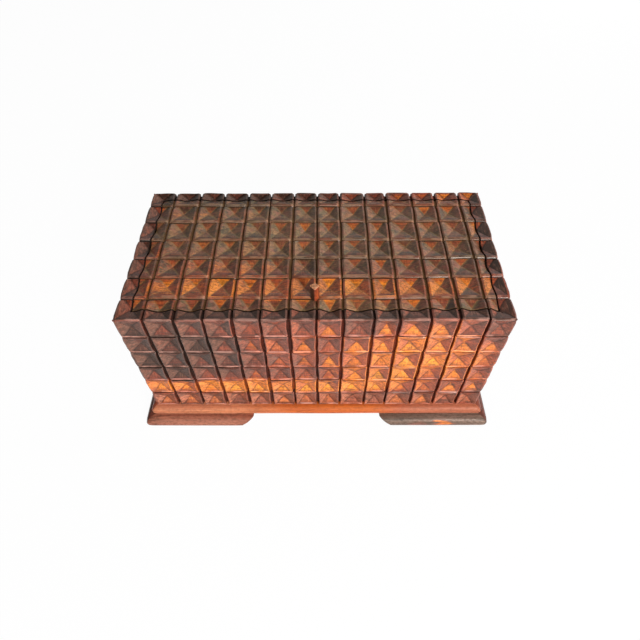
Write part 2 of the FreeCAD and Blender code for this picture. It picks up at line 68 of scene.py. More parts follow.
# Room in a facet's number for the rows of a face and for the facets of a cell.
ROW_ROOM = 32
FACET_ROOM = 8

Colour = tuple[float, float, float, float]
Triple = tuple[float, float, float]
WHITE: Colour = (1.0, 1.0, 1.0, 1.0)
Socket = bpy.types.NodeSocket
Tree = bpy.types.GeometryNodeTree
Mesh = bpy.types.Mesh
Draft = bmesh.types.BMesh
Chain = list[bmesh.types.BMVert]
Drop = Callable[[Vector], Triple]
Ends = Callable[[float, float], tuple[float, float]]


def seen(red: int, green: int, blue: int) -> Colour:
    """Turns a colour as the eye sees it into the linear values of a shader.

    Args:
        red, green, blue: The three channels, 0 to 255.

    Returns:
        The linear colour with full alpha.
    """
    channels = []
    for level in (red, green, blue):
        part = level / 255.0
        channels.append(part / 12.92 if part <= 0.04045 else ((part + 0.055) / 1.055) ** 2.4)
    return (channels[0], channels[1], channels[2], 1.0)


def placed(name: str, data: bpy.types.ID) -> bpy.types.Object:
    """Puts a mesh, a lamp or a camera into the scene.

    Args:
        name: The name of its object.
        data: What the object shows.

    Returns:
        The object.
    """
    holder = bpy.data.objects.new(name, data)
    bpy.context.scene.collection.objects.link(holder)
    return holder


class Grain(Enum):
    """The way the wood's fibres run in a piece."""

    ALONG_X = (1.0, 0.0, 0.0)
    ALONG_Y = (0.0, 1.0, 0.0)
    ALONG_Z = (0.0, 0.0, 1.0)

    def stretch(self, along: float, across: float) -> Triple:
        """Gives the scale of a pattern along the fibres and across them, per axis."""
        return tuple(along if axis else across for axis in self.value)


class Edge(Enum):
    """How a carved face ends: on a worn arris, or on a sawn edge that stands on the plinth."""

    ARRIS = "arris"
    SAWN = "sawn"


class Facet(IntEnum):
    """The parts of a carved cell: its rim, and the four slopes of its pocket."""

    RIM = 0
    LEFT = 1
    RIGHT = 2
    LOW = 3
    HIGH = 4


class Layer(Enum):
    """What a layer of colour does to the wood under it."""

    COVERS = "MIX"
    BRIGHTENS = "ADD"
    DARKENS = "MULTIPLY"


class Side(Enum):
    """The four sides of the box, as the outward direction of each."""

    FRONT = (0.0, -1.0)
    BACK = (0.0, 1.0)
    LEFT = (-1.0, 0.0)
    RIGHT = (1.0, 0.0)

    @property
    def lengthwise(self) -> bool:
        """Whether the side runs along the length of the box."""
        return self in (Side.FRONT, Side.BACK)

    @property
    def sign(self) -> float:
        """The sign of the side's outward direction."""
        return self.value[0] + self.value[1]

    def place(self, run: float, reach: float, level: float) -> Triple:
        """Turns a run along the side, a reach outwards and a level into a point of the box."""
        out = self.sign * reach
        return (run, out, level) if self.lengthwise else (out, run, level)


@dataclass(frozen=True)
class Step:
    """A soft step: where it starts and ends, and what it gives before and after."""

    low: float
    high: float
    first: float = 0.0
    last: float = 1.0

    def scaled(self, factor: float) -> "Step":
        """Gives the same step with its two results multiplied."""
        return Step(self.low, self.high, self.first * factor, self.last * factor)


@dataclass(frozen=True)
class Cloud:
    """A cloud pattern: its changes per millimetre along the fibres and across, its layers and roughness."""

    along: float
    across: float
    layers: float = 2.0
    rough: float = 0.5


class Graph:
    """A node tree, with short calls that add a node and feed its inputs."""

    # The numbers of a Mix node's two inputs and of its output, for each kind of value.
    MIX_SOCKETS = {"FLOAT": (2, 3, 0), "VECTOR": (4, 5, 1), "RGBA": (6, 7, 2)}

    def __init__(self, tree: bpy.types.NodeTree) -> None:
        """Keeps the tree that the nodes go into."""
        self.tree = tree

    def feed(self, socket: Socket, value: object) -> None:
        """Links a socket to another one, or sets its plain value.

        Args:
            socket: The input.
            value: Another socket, or a plain value.
        """
        if isinstance(value, Socket):
            self.tree.links.new(value, socket)
        else:
            socket.default_value = value

    def add(self, kind: str, feeds: dict | None = None, **settings: object) -> bpy.types.Node:
        """Adds one node.

        Args:
            kind: The node's type name.
            feeds: Values or sockets by the name or number of the input.
            settings: Properties of the node itself.

        Returns:
            The new node.
        """
        node = self.tree.nodes.new(kind)
        for name, value in settings.items():
            setattr(node, name, value)
        for key, value in (feeds or {}).items():
            self.feed(node.inputs[key], value)
        return node

    def maths(self, operation: str, *values: object, clamp: bool = False) -> Socket:
        """Adds a sum on plain numbers and returns its result."""
        node = self.add("ShaderNodeMath", dict(enumerate(values)), operation=operation, use_clamp=clamp)
        return node.outputs[0]

    def product(self, first: object, second: object) -> Socket:
        """Multiplies two plain numbers."""
        return self.maths("MULTIPLY", first, second)

    def swing(self, pattern: Socket) -> Socket:
        """Moves a pattern's numbers so that they lie about zero."""
        return self.maths("SUBTRACT", pattern, 0.5)

    def vectors(self, operation: str, *values: object) -> Socket:
        """Adds a sum on vectors and returns its result."""
        node = self.add("ShaderNodeVectorMath", dict(enumerate(values)), operation=operation)
        return node.outputs["Value" if operation == "LENGTH" else "Vector"]

    def scaled(self, vector: object, factor: object) -> Socket:
        """Multiplies a vector by a plain number."""
        node = self.add("ShaderNodeVectorMath", {0: vector, "Scale": factor}, operation="SCALE")
        return node.outputs["Vector"]

    def noise(self, vector: object, scale: float, detail: float = 2.0, rough: float = 0.5) -> bpy.types.Node:
        """Adds a cloud pattern and returns its node."""
        feeds = {"Vector": vector, "Scale": scale, "Detail": detail, "Roughness": rough}
        return self.add("ShaderNodeTexNoise", feeds)

    def fade(self, value: object, step: Step) -> Socket:
        """Adds a soft step and returns its result.

        Args:
            value: The number that goes in.
            step: The step.

        Returns:
            The number that comes out.
        """
        feeds = {
            "Value": value,
            "From Min": step.low,
            "From Max": step.high,
            "To Min": step.first,
            "To Max": step.last,
        }
        return self.add("ShaderNodeMapRange", feeds, interpolation_type="SMOOTHSTEP").outputs[0]

    def mix(self, kind: str, share: object, first: object, second: object, **settings: object) -> Socket:
        """Adds a Mix node.

        Args:
            kind: The kind of value that it mixes.
            share: The share of the second value.
            first: The first value.
            second: The second value.
            settings: Further properties of the node.

        Returns:
            The mixed value.
        """
        low, high, out = self.MIX_SOCKETS[kind]
        node = self.add("ShaderNodeMix", {0: share, low: first, high: second}, data_type=kind, **settings)
        return node.outputs[out]

    def blend(self, share: object, first: object, second: object) -> Socket:
        """Mixes two plain numbers by a share."""
        return self.mix("FLOAT", share, first, second)

    def tint(self, share: object, first: object, second: object, way: Layer = Layer.COVERS) -> Socket:
        """Lays one colour over another by a share."""
        return self.mix("RGBA", share, first, second, blend_type=way.value)

    def reading(self, name: str) -> Socket:
        """Reads a number that the piece's own mesh carries."""
        return self.add("ShaderNodeAttribute", attribute_name=name).outputs["Fac"]

    def bump(self, height: object, strength: float, distance: float) -> Socket:
        """Adds fine relief and returns the surface's new direction."""
        feeds = {"Strength": strength, "Distance": distance, "Height": height}
        return self.add("ShaderNodeBump", feeds).outputs[0]


class Surface(Graph):
    """The nodes of a finish, with the place on its surface in millimetres."""

    def __init__(self, tree: bpy.types.NodeTree) -> None:
        """Keeps the tree and adds the nodes that give the place."""
        super().__init__(tree)
        self.place = self.scaled(self.add("ShaderNodeTexCoord").outputs["Object"], 1.0 / MM)

    def pattern(self, cloud: Cloud, grain: Grain = Grain.ALONG_X) -> bpy.types.Node:
        """Adds a cloud pattern that follows the fibres and returns its node."""
        stretched = self.vectors("MULTIPLY", self.place, grain.stretch(cloud.along, cloud.across))
        return self.noise(stretched, 1.0, cloud.layers, cloud.rough)


@dataclass(frozen=True)
class Finish:
    """A finish: a material that is built once."""

    name: str

    def material(self) -> bpy.types.Material:
        """Builds the finish once and gives it out again after that.

        Returns:
            The node material.
        """
        made = bpy.data.materials.get(self.name)
        if made:
            return made
        made = bpy.data.materials.new(self.name)
        made.use_nodes = True
        graph = Surface(made.node_tree)
        for name, value in self.painted(graph).items():
            graph.feed(made.node_tree.nodes["Principled BSDF"].inputs[name], value)
        return made

    def painted(self, graph: Surface) -> dict[str, object]:
        """Gives what the shader's inputs are fed with; each finish has a way of its own."""
        raise NotImplementedError


@dataclass(frozen=True)
class Flame:
    """A patch of lighter or darker wood, with its middle and radii in millimetres and its tone."""

    middle: Triple
    radii: Triple
    tone: float
    edge: float = 0.45


@dataclass(frozen=True)
class RosewoodFinish(Finish):
    """Oiled and polished rosewood, streaked from purple-brown through red to orange sapwood; on carved faces
    it also carries painted shade, sheen and glints.
    """

    grain: Grain = Grain.ALONG_X
    tone: float = 0.42
    spread: float = 0.5
    drift: float = 1.0
    figure: float = 1.0
    flames: tuple[Flame, ...] = ()
    faded: tuple[Flame, ...] = ()
    carved: bool = False
    roughness: float = 0.4
    coat: float = 0.24
    gloss: float = 0.5
    soot: Colour = seen(34, 20, 13)
    # The colour laid into the grooves: painted shade on the walls and floors, and on the lid a dust colour
    # that covers them.
    groove_shade_and_dust: Colour = seen(142, 104, 88)
    groove_fill: Layer = Layer.DARKENS
    # The colour of painted shade in the creases: row lines, valleys and the lid's seam.
    crease_shade: Colour = seen(112, 78, 64)
    # The pale colour of rubbed rims, which also paints the glint of light along them.
    worn: Colour = seen(150, 112, 100)
    bleached: Colour = seen(150, 116, 74)
    # The colour of the painted sheen laid on facets that face the bright room.
    sheen_tint: Colour = seen(108, 68, 52)
    scratch: Colour = seen(104, 74, 58)
    # The darker red laid over low facets towards their rims.
    low_base_tint: Colour = seen(150, 74, 52)
    stains: tuple[Colour, ...] = (seen(46, 34, 30),)
    valley_shade: float = 0.65
    valley_dust: float = 0.0

    STOPS = (
        (0.0, seen(44, 27, 21)),
        (0.18, seen(78, 44, 33)),
        (0.36, seen(118, 54, 39)),
        (0.54, seen(164, 72, 38)),
        (0.74, seen(224, 122, 34)),
        (1.0, seen(246, 156, 48)),
    )
    CLOUDS = Cloud(0.012, 0.07, 3.0, 0.55)
    STREAKS = Cloud(0.02, 0.8, 3.0, 0.6)
    INK = Cloud(0.012, 0.16, 2.0, 0.55)
    PORES = Cloud(0.35, 4.0, 1.0)
    GRIT = Cloud(0.45, 0.8, 4.0, 0.7)
    BLOTCHES = Cloud(0.16, 0.22, 4.0, 0.65)
    KNIFE = Cloud(1.5, 0.22, 4.0, 0.68)
    PATCHES = Cloud(0.16, 0.16, 3.0)
    DRIFT = Cloud(0.03, 0.11, 3.0, 0.6)
    DRIFT_ALONG = 46.0
    DRIFT_ACROSS = 11.0
    STREAK_TONE = 0.42
    CHIP_TONE = 0.13
    MOTTLE = Step(0.3, 0.7, 0.55, 1.0)
    FADED_FACETS = Step(0.0, 0.5, 0.35, 1.0)
    VEIN = Step(0.0, 0.03, 0.5, 0.0)
    PORE_MARKS = Step(0.6, 0.74, 0.0, 0.45)
    GRIT_MARKS = Step(0.46, 0.62, 0.0, 0.5)
    SHEEN_GRIT = Step(0.35, 0.6, 1.0, 0.35)
    KNIFE_CUTS = Step(0.28, 0.48, 0.65, 0.0)
    KNIFE_SCRAPES = Step(0.52, 0.7)
    STAINED_TONE = Step(0.46, 0.64, 0.8, 0.0)
    STAINED_FACETS = Step(0.0, 0.6, 0.4, 1.0)
    STAIN_EDGE = Step(0.48, 0.62)
    GROOVE_FILL_EDGE = Step(0.12, 0.65, 0.0, 0.9)
    BROKEN = Step(0.35, 0.55, 0.5, 1.0)
    VALLEY_EDGE = Step(0.04, 0.2, 1.0, 0.0)
    LOW_BASE_DEPTH = Step(0.0, 0.55, 1.0, 0.0)
    RUB_AND_GLINT_PATCHES = Step(0.38, 0.6, 0.15, 1.0)
    LINE_EDGE = Step(0.3, 0.9, 0.0, 0.9)
    DULL_GROOVE = Step(0.3, 0.8)
    SHEEN_SPREAD = 0.8
    COAT_ROUGHNESS = 0.3
    GLOSS_TINT = (1.0, 0.88, 0.74, 1.0)
    RELIEF = 0.4
    RELIEF_DEPTH = 0.25 * MM

    def painted(self, graph: Surface) -> dict[str, object]:
        """Works out the wood's colour, sheen and relief.

        Args:
            graph: Its nodes.

        Returns:
            What each input of the shader is fed with.
        """
        drifted = self.drifted(graph)
        fine = (self.STREAKS, self.GRIT, self.PORES)
        streaks, grit, pores = (graph.pattern(cloud, self.grain).outputs[0] for cloud in fine)
        tone = self.toned(graph, drifted, streaks)
        colour = self.ramp(graph, tone)
        if self.faded:
            faded = self.patched(graph, drifted, self.faded, 0.0)
            faded = graph.product(faded, graph.fade(streaks, self.MOTTLE))
            # On carved faces the fade falls mostly on facets with painted sheen, so it is partly painted
            # sheen as well as faded wood.
            if self.carved:
                faded = graph.product(faded, graph.fade(graph.reading("bloom"), self.FADED_FACETS))
            colour = graph.tint(faded, colour, self.bleached)
        dashes = graph.fade(pores, self.PORE_MARKS.scaled(self.figure))
        specks = graph.fade(grit, self.GRIT_MARKS.scaled(self.figure))
        for share in (self.veins(graph), dashes, specks):
            colour = graph.tint(share, colour, self.soot)
        sheen = graph.maths("MULTIPLY_ADD", graph.swing(grit), self.SHEEN_SPREAD, self.roughness)
        height = graph.maths("SUBTRACT", graph.maths("ADD", streaks, grit), dashes)
        coat = self.coat
        if self.carved:
            knife, pocket = self.knife_marks(graph), graph.reading("pocket")
            colour = self.stained(graph, tone, colour)
            # Painted sheen: a pale veil on the facets that face the bright room, as a reflection would show.
            bloom = graph.product(graph.reading("bloom"), graph.fade(grit, self.SHEEN_GRIT))
            colour = graph.tint(bloom, colour, self.sheen_tint, Layer.BRIGHTENS)
            cuts = graph.product(graph.fade(knife, self.KNIFE_CUTS), pocket)
            colour = graph.tint(cuts, colour, self.soot)
            scrapes = graph.product(graph.fade(knife, self.KNIFE_SCRAPES), pocket)
            colour = graph.tint(scrapes, colour, self.scratch, Layer.BRIGHTENS)
            colour = self.wear_and_shade(graph, colour)
            groove = graph.fade(graph.reading("groove"), self.DULL_GROOVE)
            dull = graph.maths("MAXIMUM", groove, graph.reading("rim"))
            sheen = graph.maths("MAXIMUM", sheen, dull)
            coat = graph.blend(dull, self.coat, 0.0)
            height = graph.maths("MULTIPLY_ADD", knife, pocket, height)
        return {
            "Base Color": colour,
            "Roughness": graph.maths("ADD", sheen, 0.0, clamp=True),
            "Coat Weight": coat,
            "Coat Roughness": self.COAT_ROUGHNESS,
            "Specular IOR Level": self.gloss,
            "Specular Tint": self.GLOSS_TINT,
            "Normal": graph.bump(height, self.RELIEF, self.RELIEF_DEPTH),
        }

    def drifted(self, graph: Surface) -> Socket:
        """Lets the place wander, so that no patch has a plain outline.

        Args:
            graph: Its nodes.

        Returns:
            The wandering place.
        """
        drift = graph.pattern(self.DRIFT, self.grain)
        lean = graph.vectors("SUBTRACT", drift.outputs["Color"], (0.5, 0.5, 0.5))
        reach = self.grain.stretch(self.DRIFT_ALONG * self.drift, self.DRIFT_ACROSS * self.drift)
        return graph.vectors("ADD", graph.place, graph.vectors("MULTIPLY", lean, reach))

    def toned(self, graph: Surface, drifted: Socket, streaks: Socket) -> Socket:
        """Works out how light the wood is, with painted shade and light by the way each carved facet faces.

        Args:
            graph: Its nodes.
            drifted: The wandering place.
            streaks: The pattern of the wood's streaks.

        Returns:
            The tone, from dark heartwood at 0 to pale sapwood at 1.
        """
        clouds = graph.pattern(self.CLOUDS, self.grain).outputs[0]
        tone = graph.maths("MULTIPLY_ADD", graph.swing(clouds), self.spread, self.tone)
        tone = self.patched(graph, drifted, self.flames, tone)
        tone = graph.maths("MULTIPLY_ADD", graph.swing(streaks), self.STREAK_TONE * self.figure, tone)
        if self.carved:
            tone = graph.maths("MULTIPLY_ADD", graph.reading("chip"), self.CHIP_TONE, tone)
            # The facet's tone shift is painted shade: facets turned from the light are darker, those facing
            # it lighter.
            tone = graph.maths("ADD", tone, graph.reading("turned"))
        return tone

    def patched(self, graph: Surface, drifted: Socket, patches: Sequence[Flame], value: object) -> object:
        """Lays patches of other numbers over a number.

        Args:
            graph: Its nodes.
            drifted: The wandering place in millimetres.
            patches: The patches, the later ones on top.
            value: The number outside them.

        Returns:
            The number with its patches.
        """
        for flame in patches:
            inverse = [1.0 / radius for radius in flame.radii]
            shift = [-middle * part for middle, part in zip(flame.middle, inverse)]
            scaled = graph.vectors("MULTIPLY_ADD", drifted, tuple(inverse), tuple(shift))
            away = graph.vectors("LENGTH", scaled)
            share = graph.fade(away, Step(1.0 - flame.edge, 1.0 + flame.edge, 1.0, 0.0))
            value = graph.blend(share, value, flame.tone)
        return value

    def ramp(self, graph: Surface, tone: Socket) -> Socket:
        """Turns the tone into a colour of the wood.

        Args:
            graph: Its nodes.
            tone: How light the wood is.

        Returns:
            The colour.
        """
        node = graph.add("ShaderNodeValToRGB", {0: tone})
        stops = node.color_ramp.elements
        while len(stops) < len(self.STOPS):
            stops.new(0.5)
        for stop, (position, colour) in zip(stops, self.STOPS):
            stop.position = position
            stop.color = colour
        return node.outputs[0]

    def veins(self, graph: Surface) -> Socket:
        """Gives the share of the dark veins that run with the fibres."""
        ink = graph.pattern(self.INK, self.grain).outputs[0]
        return graph.fade(graph.maths("ABSOLUTE", graph.swing(ink)), self.VEIN.scaled(self.figure))

    def knife_marks(self, graph: Surface) -> Socket:
        """Gives a pattern of fine marks that run down each facet.

        Args:
            graph: Its nodes.

        Returns:
            The pattern.
        """
        marks = self.KNIFE
        ways = ((marks.along, marks.across), (marks.across, marks.along))
        pitch = graph.mix("VECTOR", graph.reading("end_grain"), *(self.grain.stretch(*way) for way in ways))
        turned = graph.vectors("MULTIPLY", graph.place, pitch)
        return graph.noise(turned, 1.0, marks.layers, marks.rough).outputs[0]

    def stained(self, graph: Surface, tone: Socket, colour: Socket) -> Socket:
        """Lays blotches of old polish over the darker wood, one colour after the other.

        Args:
            graph: Its nodes.
            tone: How light the wood is.
            colour: The clean wood.

        Returns:
            The stained wood.
        """
        blotch = graph.pattern(self.BLOTCHES, self.grain)
        channels = graph.add("ShaderNodeSeparateColor", {0: blotch.outputs["Color"]}).outputs
        # Stains fall mostly on the facets with painted sheen and little on the lit far facets, so they follow
        # the painted light.
        facets = graph.fade(graph.reading("bloom"), self.STAINED_FACETS)
        held = graph.product(graph.fade(tone, self.STAINED_TONE), facets)
        for stain, channel in zip(self.stains, channels):
            colour = graph.tint(graph.product(graph.fade(channel, self.STAIN_EDGE), held), colour, stain)
        return colour

    def wear_and_shade(self, graph: Surface, colour: Socket) -> Socket:
        """Darkens the low facets towards their rims, rubs the rims pale with painted glints, and paints shade
        into the grooves, row lines, valleys and seam; on the lid a dust colour covers the grooves instead.

        Args:
            graph: Its nodes.
            colour: The clean wood.

        Returns:
            The worn wood.
        """
        patches = graph.pattern(self.PATCHES).outputs[0]
        broken = graph.fade(patches, self.BROKEN)
        # Low facets get a darker red towards their rims, fading towards the apex.
        low_base = graph.product(graph.fade(graph.reading("hollow"), self.LOW_BASE_DEPTH), graph.reading("low"))
        colour = graph.tint(graph.product(low_base, broken), colour, self.low_base_tint, Layer.DARKENS)
        # Pale rims: real rubbing, and painted glints where a rim catches the light.
        rim_rub_and_glint = graph.product(graph.reading("rim"), graph.fade(patches, self.RUB_AND_GLINT_PATCHES))
        colour = graph.tint(rim_rub_and_glint, colour, self.worn, Layer.BRIGHTENS)
        valley = graph.product(graph.fade(graph.reading("valley"), self.VALLEY_EDGE), broken)
        valley = graph.product(valley, graph.reading("pocket"))
        if self.valley_dust:
            dust = graph.product(valley, self.valley_dust)
            colour = graph.tint(dust, colour, self.scratch, Layer.BRIGHTENS)
        # Painted shade in the grooves and the seam's gap, darkened where the recess is; on the lid a dust
        # colour covers them instead.
        groove_fill = graph.fade(graph.reading("groove"), self.GROOVE_FILL_EDGE)
        colour = graph.tint(groove_fill, colour, self.groove_shade_and_dust, self.groove_fill)
        # Painted shade in the creases: the row lines, the valleys of the pockets and the lid's seam are
        # darkened.
        line = graph.fade(graph.reading("cut_v"), self.LINE_EDGE)
        crease_shade_share = graph.maths("MAXIMUM", line, graph.product(valley, self.valley_shade))
        return graph.tint(crease_shade_share, colour, self.crease_shade, Layer.DARKENS)


@dataclass(frozen=True)
class PlainWoodFinish(Finish):
    """Raw planed wood of the inside and the lock."""

    dark: Colour
    light: Colour
    grain: Grain = Grain.ALONG_X
    roughness: float = 0.62
    uneven: float = 0.1

    BROAD = Cloud(0.01, 0.12, 4.0, 0.6)
    FINE = Cloud(0.05, 1.6, 2.0, 0.6)
    BROAD_SHARE = 0.9
    FINE_SHARE = 0.5
    LIGHT_WOOD = Step(0.4, 1.0)
    RELIEF = 0.3
    RELIEF_DEPTH = 0.1 * MM

    def painted(self, graph: Surface) -> dict[str, object]:
        """Works out the wood's colour, sheen and relief.

        Args:
            graph: Its nodes.

        Returns:
            What each input of the shader is fed with.
        """
        broad = graph.pattern(self.BROAD, self.grain).outputs[0]
        fine = graph.pattern(self.FINE, self.grain).outputs[0]
        share = graph.maths("MULTIPLY_ADD", fine, self.FINE_SHARE, graph.product(broad, self.BROAD_SHARE))
        sheen = Step(0.2, 0.8, self.roughness - self.uneven, self.roughness + self.uneven)
        return {
            "Base Color": graph.tint(graph.fade(share, self.LIGHT_WOOD), self.dark, self.light),
            "Roughness": graph.fade(fine, sheen),
            "Normal": graph.bump(fine, self.RELIEF, self.RELIEF_DEPTH),
        }


@dataclass(frozen=True)
class WireFinish(Finish):
    """Drawn steel wire of the pins, with a little rust; each pair is for bare steel and for rust."""

    name: str = "pin_wire"
    colours: tuple[Colour, Colour] = (seen(150, 148, 145), seen(96, 58, 38))
    roughness: tuple[float, float] = (0.32, 0.8)
    metal: tuple[float, float] = (1.0, 0.2)

    RUST = Cloud(0.6, 0.6, 4.0, 0.6)
    RUST_EDGE = Step(0.5, 0.68)

    def painted(self, graph: Surface) -> dict[str, object]:
        """Works out the wire's colour and sheen.

        Args:
            graph: Its nodes.

        Returns:
            What each input of the shader is fed with.
        """
        rust = graph.fade(graph.pattern(self.RUST).outputs[0], self.RUST_EDGE)
        return {
            "Base Color": graph.tint(rust, *self.colours),
            "Roughness": graph.blend(rust, *self.roughness),
            "Metallic": graph.blend(rust, *self.metal),
        }


class NodeModifier:
    """A Geometry Nodes tree under construction, with its named inputs and its closing nodes."""

    def __init__(self, name: str, inputs: Sequence[tuple[str, str]]) -> None:
        """Starts a tree with a geometry input and the named ones.

        Args:
            name: The tree's name.
            inputs: The name and socket type of each further input.
        """
        self.tree = bpy.data.node_groups.new(name, "GeometryNodeTree")
        self.tree.interface.new_socket("Geometry", in_out="INPUT", socket_type="NodeSocketGeometry")
        self.tree.interface.new_socket("Geometry", in_out="OUTPUT", socket_type="NodeSocketGeometry")
        for label, kind in inputs:
            self.tree.interface.new_socket(label, in_out="INPUT", socket_type=kind)
        self.graph = Graph(self.tree)
        self.given = self.graph.add("NodeGroupInput").outputs

    def attribute(self, name: str, kind: str = "FLOAT") -> Socket:
        """Reads a number that the incoming mesh carries."""
        return self.graph.add("GeometryNodeInputNamedAttribute", {0: name}, data_type=kind).outputs[0]

    def draw(self, number: object, seed: object) -> Socket:
        """Draws three chance numbers between -1 and 1 for a cell."""
        feeds = {0: (-1.0, -1.0, -1.0), 1: (1.0, 1.0, 1.0), "ID": number, "Seed": seed}
        return self.graph.add("FunctionNodeRandomValue", feeds, data_type="FLOAT_VECTOR").outputs[0]

    def close(self, geometry: Socket) -> Tree:
        """Ends the tree in Realize Instances and Set Material.

        Args:
            geometry: What the tree has made.

        Returns:
            The tree.
        """
        real = self.graph.add("GeometryNodeRealizeInstances", {0: geometry})
        feeds = {0: real.outputs[0], "Material": self.given["Material"]}
        dressed = self.graph.add("GeometryNodeSetMaterial", feeds)
        self.graph.add("NodeGroupOutput", {0: dressed.outputs[0]})
        return self.tree


def evaluated(
    mesh: Mesh,
    kind: str,
    tool: Mesh | None = None,
    inputs: dict[str, object] | None = None,
    **settings: object,
) -> Mesh:
    """Applies one modifier to a mesh.

    Args:
        mesh: The mesh, which is used up.
        kind: The modifier's type.
        tool: A second mesh that the modifier works with, also used up.
        inputs: What each named input of the modifier's node tree is set to.
        settings: The modifier's properties.

    Returns:
        The resulting mesh.
    """
    holders = [placed("work", used) for used in (mesh, tool) if used]
    modifier = holders[0].modifiers.new("step", kind)
    for name, value in settings.items():
        setattr(modifier, name, value)
    if tool:
        modifier.object = holders[1]
    if inputs:
        for item in modifier.node_group.interface.items_tree:
            if item.in_out == "INPUT" and item.name in inputs:
                modifier[item.identifier] = inputs[item.name]
    bpy.context.view_layer.update()
    depsgraph = bpy.context.evaluated_depsgraph_get()
    result = bpy.data.meshes.new_from_object(
        holders[0].evaluated_get(depsgraph), preserve_all_data_layers=True, depsgraph=depsgraph
    )
    for holder in holders:
        used = holder.data
        bpy.data.objects.remove(holder)
        bpy.data.meshes.remove(used)
    return result


def chip_carving_tree() -> Tree:
    """Builds the tree that cuts pockets and grooves into a ruled sheet.

    Returns:
        The tree, with its sizes and its seed as named inputs.
    """
    sizes = ["Pocket depth", "Depth spread", "Apex drift", "Apex lean", "Edge drift", "Lift", "Scoop"]
    sizes += ["Across depth", "Upright depth"]
    inputs = [(name, "NodeSocketFloat") for name in sizes]
    inputs += [(name, "NodeSocketVector") for name in ("Along", "Up", "Out")]
    inputs += [("Seed", "NodeSocketInt"), ("Material", "NodeSocketMaterial")]
    build = NodeModifier("chip_carving", inputs)
    graph, given = build.graph, build.given
    cell = build.attribute("cell", "INT")
    hollow, block = build.attribute("hollow"), build.attribute("block")

    def parts(seed_step: int) -> Sequence[Socket]:
        """Draws three chance numbers for each cell."""
        seed = graph.maths("ADD", given["Seed"], float(seed_step))
        return graph.add("ShaderNodeSeparateXYZ", {0: build.draw(cell, seed)}).outputs

    def shift(share: Socket, first: object, last: object, apex: object, lean: object) -> Socket:
        """Moves a cell's two edges and its apex along one direction of the face.

        Args:
            share: The place in the cell, from -1 to 1.
            first: The chance number of its first edge.
            last: The chance number of its last edge.
            apex: The chance number of its apex.
            lean: How far every apex leans.

        Returns:
            How far each point moves.
        """
        far = graph.maths("MULTIPLY_ADD", share, 0.5, 0.5)
        edge = graph.product(graph.blend(far, first, last), graph.product(block, given["Edge drift"]))
        drift = graph.maths("MULTIPLY_ADD", apex, given["Apex drift"], lean)
        return graph.maths("MULTIPLY_ADD", drift, hollow, edge)

    apex, sides, ends = parts(0), parts(1), parts(2)
    sideways = shift(build.attribute("share_u"), sides[0], sides[1], apex[0], 0.0)
    upwards = shift(build.attribute("share_v"), ends[0], ends[1], apex[1], given["Apex lean"])
    rounded = graph.product(hollow, graph.maths("SUBTRACT", 1.0, hollow))
    pocket = graph.maths("MULTIPLY_ADD", rounded, given["Scoop"], hollow)
    spread = graph.product(given["Depth spread"], apex[2])
    depth = graph.maths("MULTIPLY_ADD", spread, given["Pocket depth"], given["Pocket depth"])
    across = graph.product(build.attribute("cut_u"), given["Across depth"])
    upright = graph.product(build.attribute("cut_v"), given["Upright depth"])
    cut = graph.maths("MAXIMUM", graph.maths("MAXIMUM", across, upright), build.attribute("drop"))
    sunk = graph.maths("MULTIPLY_ADD", pocket, depth, cut)
    lift = graph.product(graph.product(sides[2], given["Lift"]), block)
    move = graph.vectors("ADD", graph.scaled(given["Along"], sideways), graph.scaled(given["Up"], upwards))
    move = graph.vectors("ADD", move, graph.scaled(given["Out"], graph.maths("SUBTRACT", lift, sunk)))
    moved = graph.add("GeometryNodeSetPosition", {"Geometry": given["Geometry"], "Offset": move})
    chance = {2: -1.0, 3: 1.0, "ID": build.attribute("facet", "INT"), "Seed": given["Seed"]}
    chip = graph.add("FunctionNodeRandomValue", chance, data_type="FLOAT").outputs[1]
    feeds = {"Geometry": moved.outputs[0], "Name": "chip", "Value": chip}
    kept = graph.add("GeometryNodeStoreNamedAttribute", feeds, data_type="FLOAT", domain="FACE")
    return build.close(kept.outputs[0])


def hand_sway_tree() -> Tree:
    """Builds the tree that makes a finished surface a little uneven, as work by hand leaves it.

    Returns:
        The tree, with its sizes as named inputs.
    """
    sizes = ["Sway", "Sway pitch", "Marks", "Marks pitch"]
    inputs = [(name, "NodeSocketFloat") for name in sizes] + [("Material", "NodeSocketMaterial")]
    build = NodeModifier("hand_sway", inputs)
    graph, given = build.graph, build.given
    place = graph.add("GeometryNodeInputPosition").outputs[0]

    def cloud(size: str, pitch: str) -> Socket:
        """Gives a vector that wanders over the surface.

        Args:
            size: The name of the input with its length.
            pitch: The name of the input with its pitch.

        Returns:
            The vector.
        """
        pattern = graph.noise(graph.scaled(place, graph.maths("DIVIDE", 1.0, given[pitch])), 1.0, 1.0)
        centred = graph.vectors("SUBTRACT", pattern.outputs["Color"], (0.5, 0.5, 0.5))
        return graph.scaled(centred, graph.product(given[size], 2.0))

    move = graph.vectors("ADD", cloud("Sway", "Sway pitch"), cloud("Marks", "Marks pitch"))
    feeds = {"Geometry": given["Geometry"], "Offset": graph.scaled(move, build.attribute("skin"))}
    return build.close(graph.add("GeometryNodeSetPosition", feeds).outputs[0])


@dataclass(frozen=True)
class HandSway:
    """How uneven a hand leaves a surface: a slow sway and fine tool marks, with the pitch of each."""

    sway: float
    sway_pitch: float
    marks: float
    marks_pitch: float

    def dressed(self, mesh: Mesh, tree: Tree, finish: Finish) -> Mesh:
        """Makes a mesh uneven and gives it its finish.

        Args:
            mesh: The even mesh, which is used up.
            tree: The tree of the hand's sway.
            finish: The finish.

        Returns:
            The dressed mesh.
        """
        values = {
            "Sway": self.sway,
            "Sway pitch": self.sway_pitch,
            "Marks": self.marks,
            "Marks pitch": self.marks_pitch,
            "Material": finish.material(),
        }
        return evaluated(mesh, "NODES", inputs=values, node_group=tree)


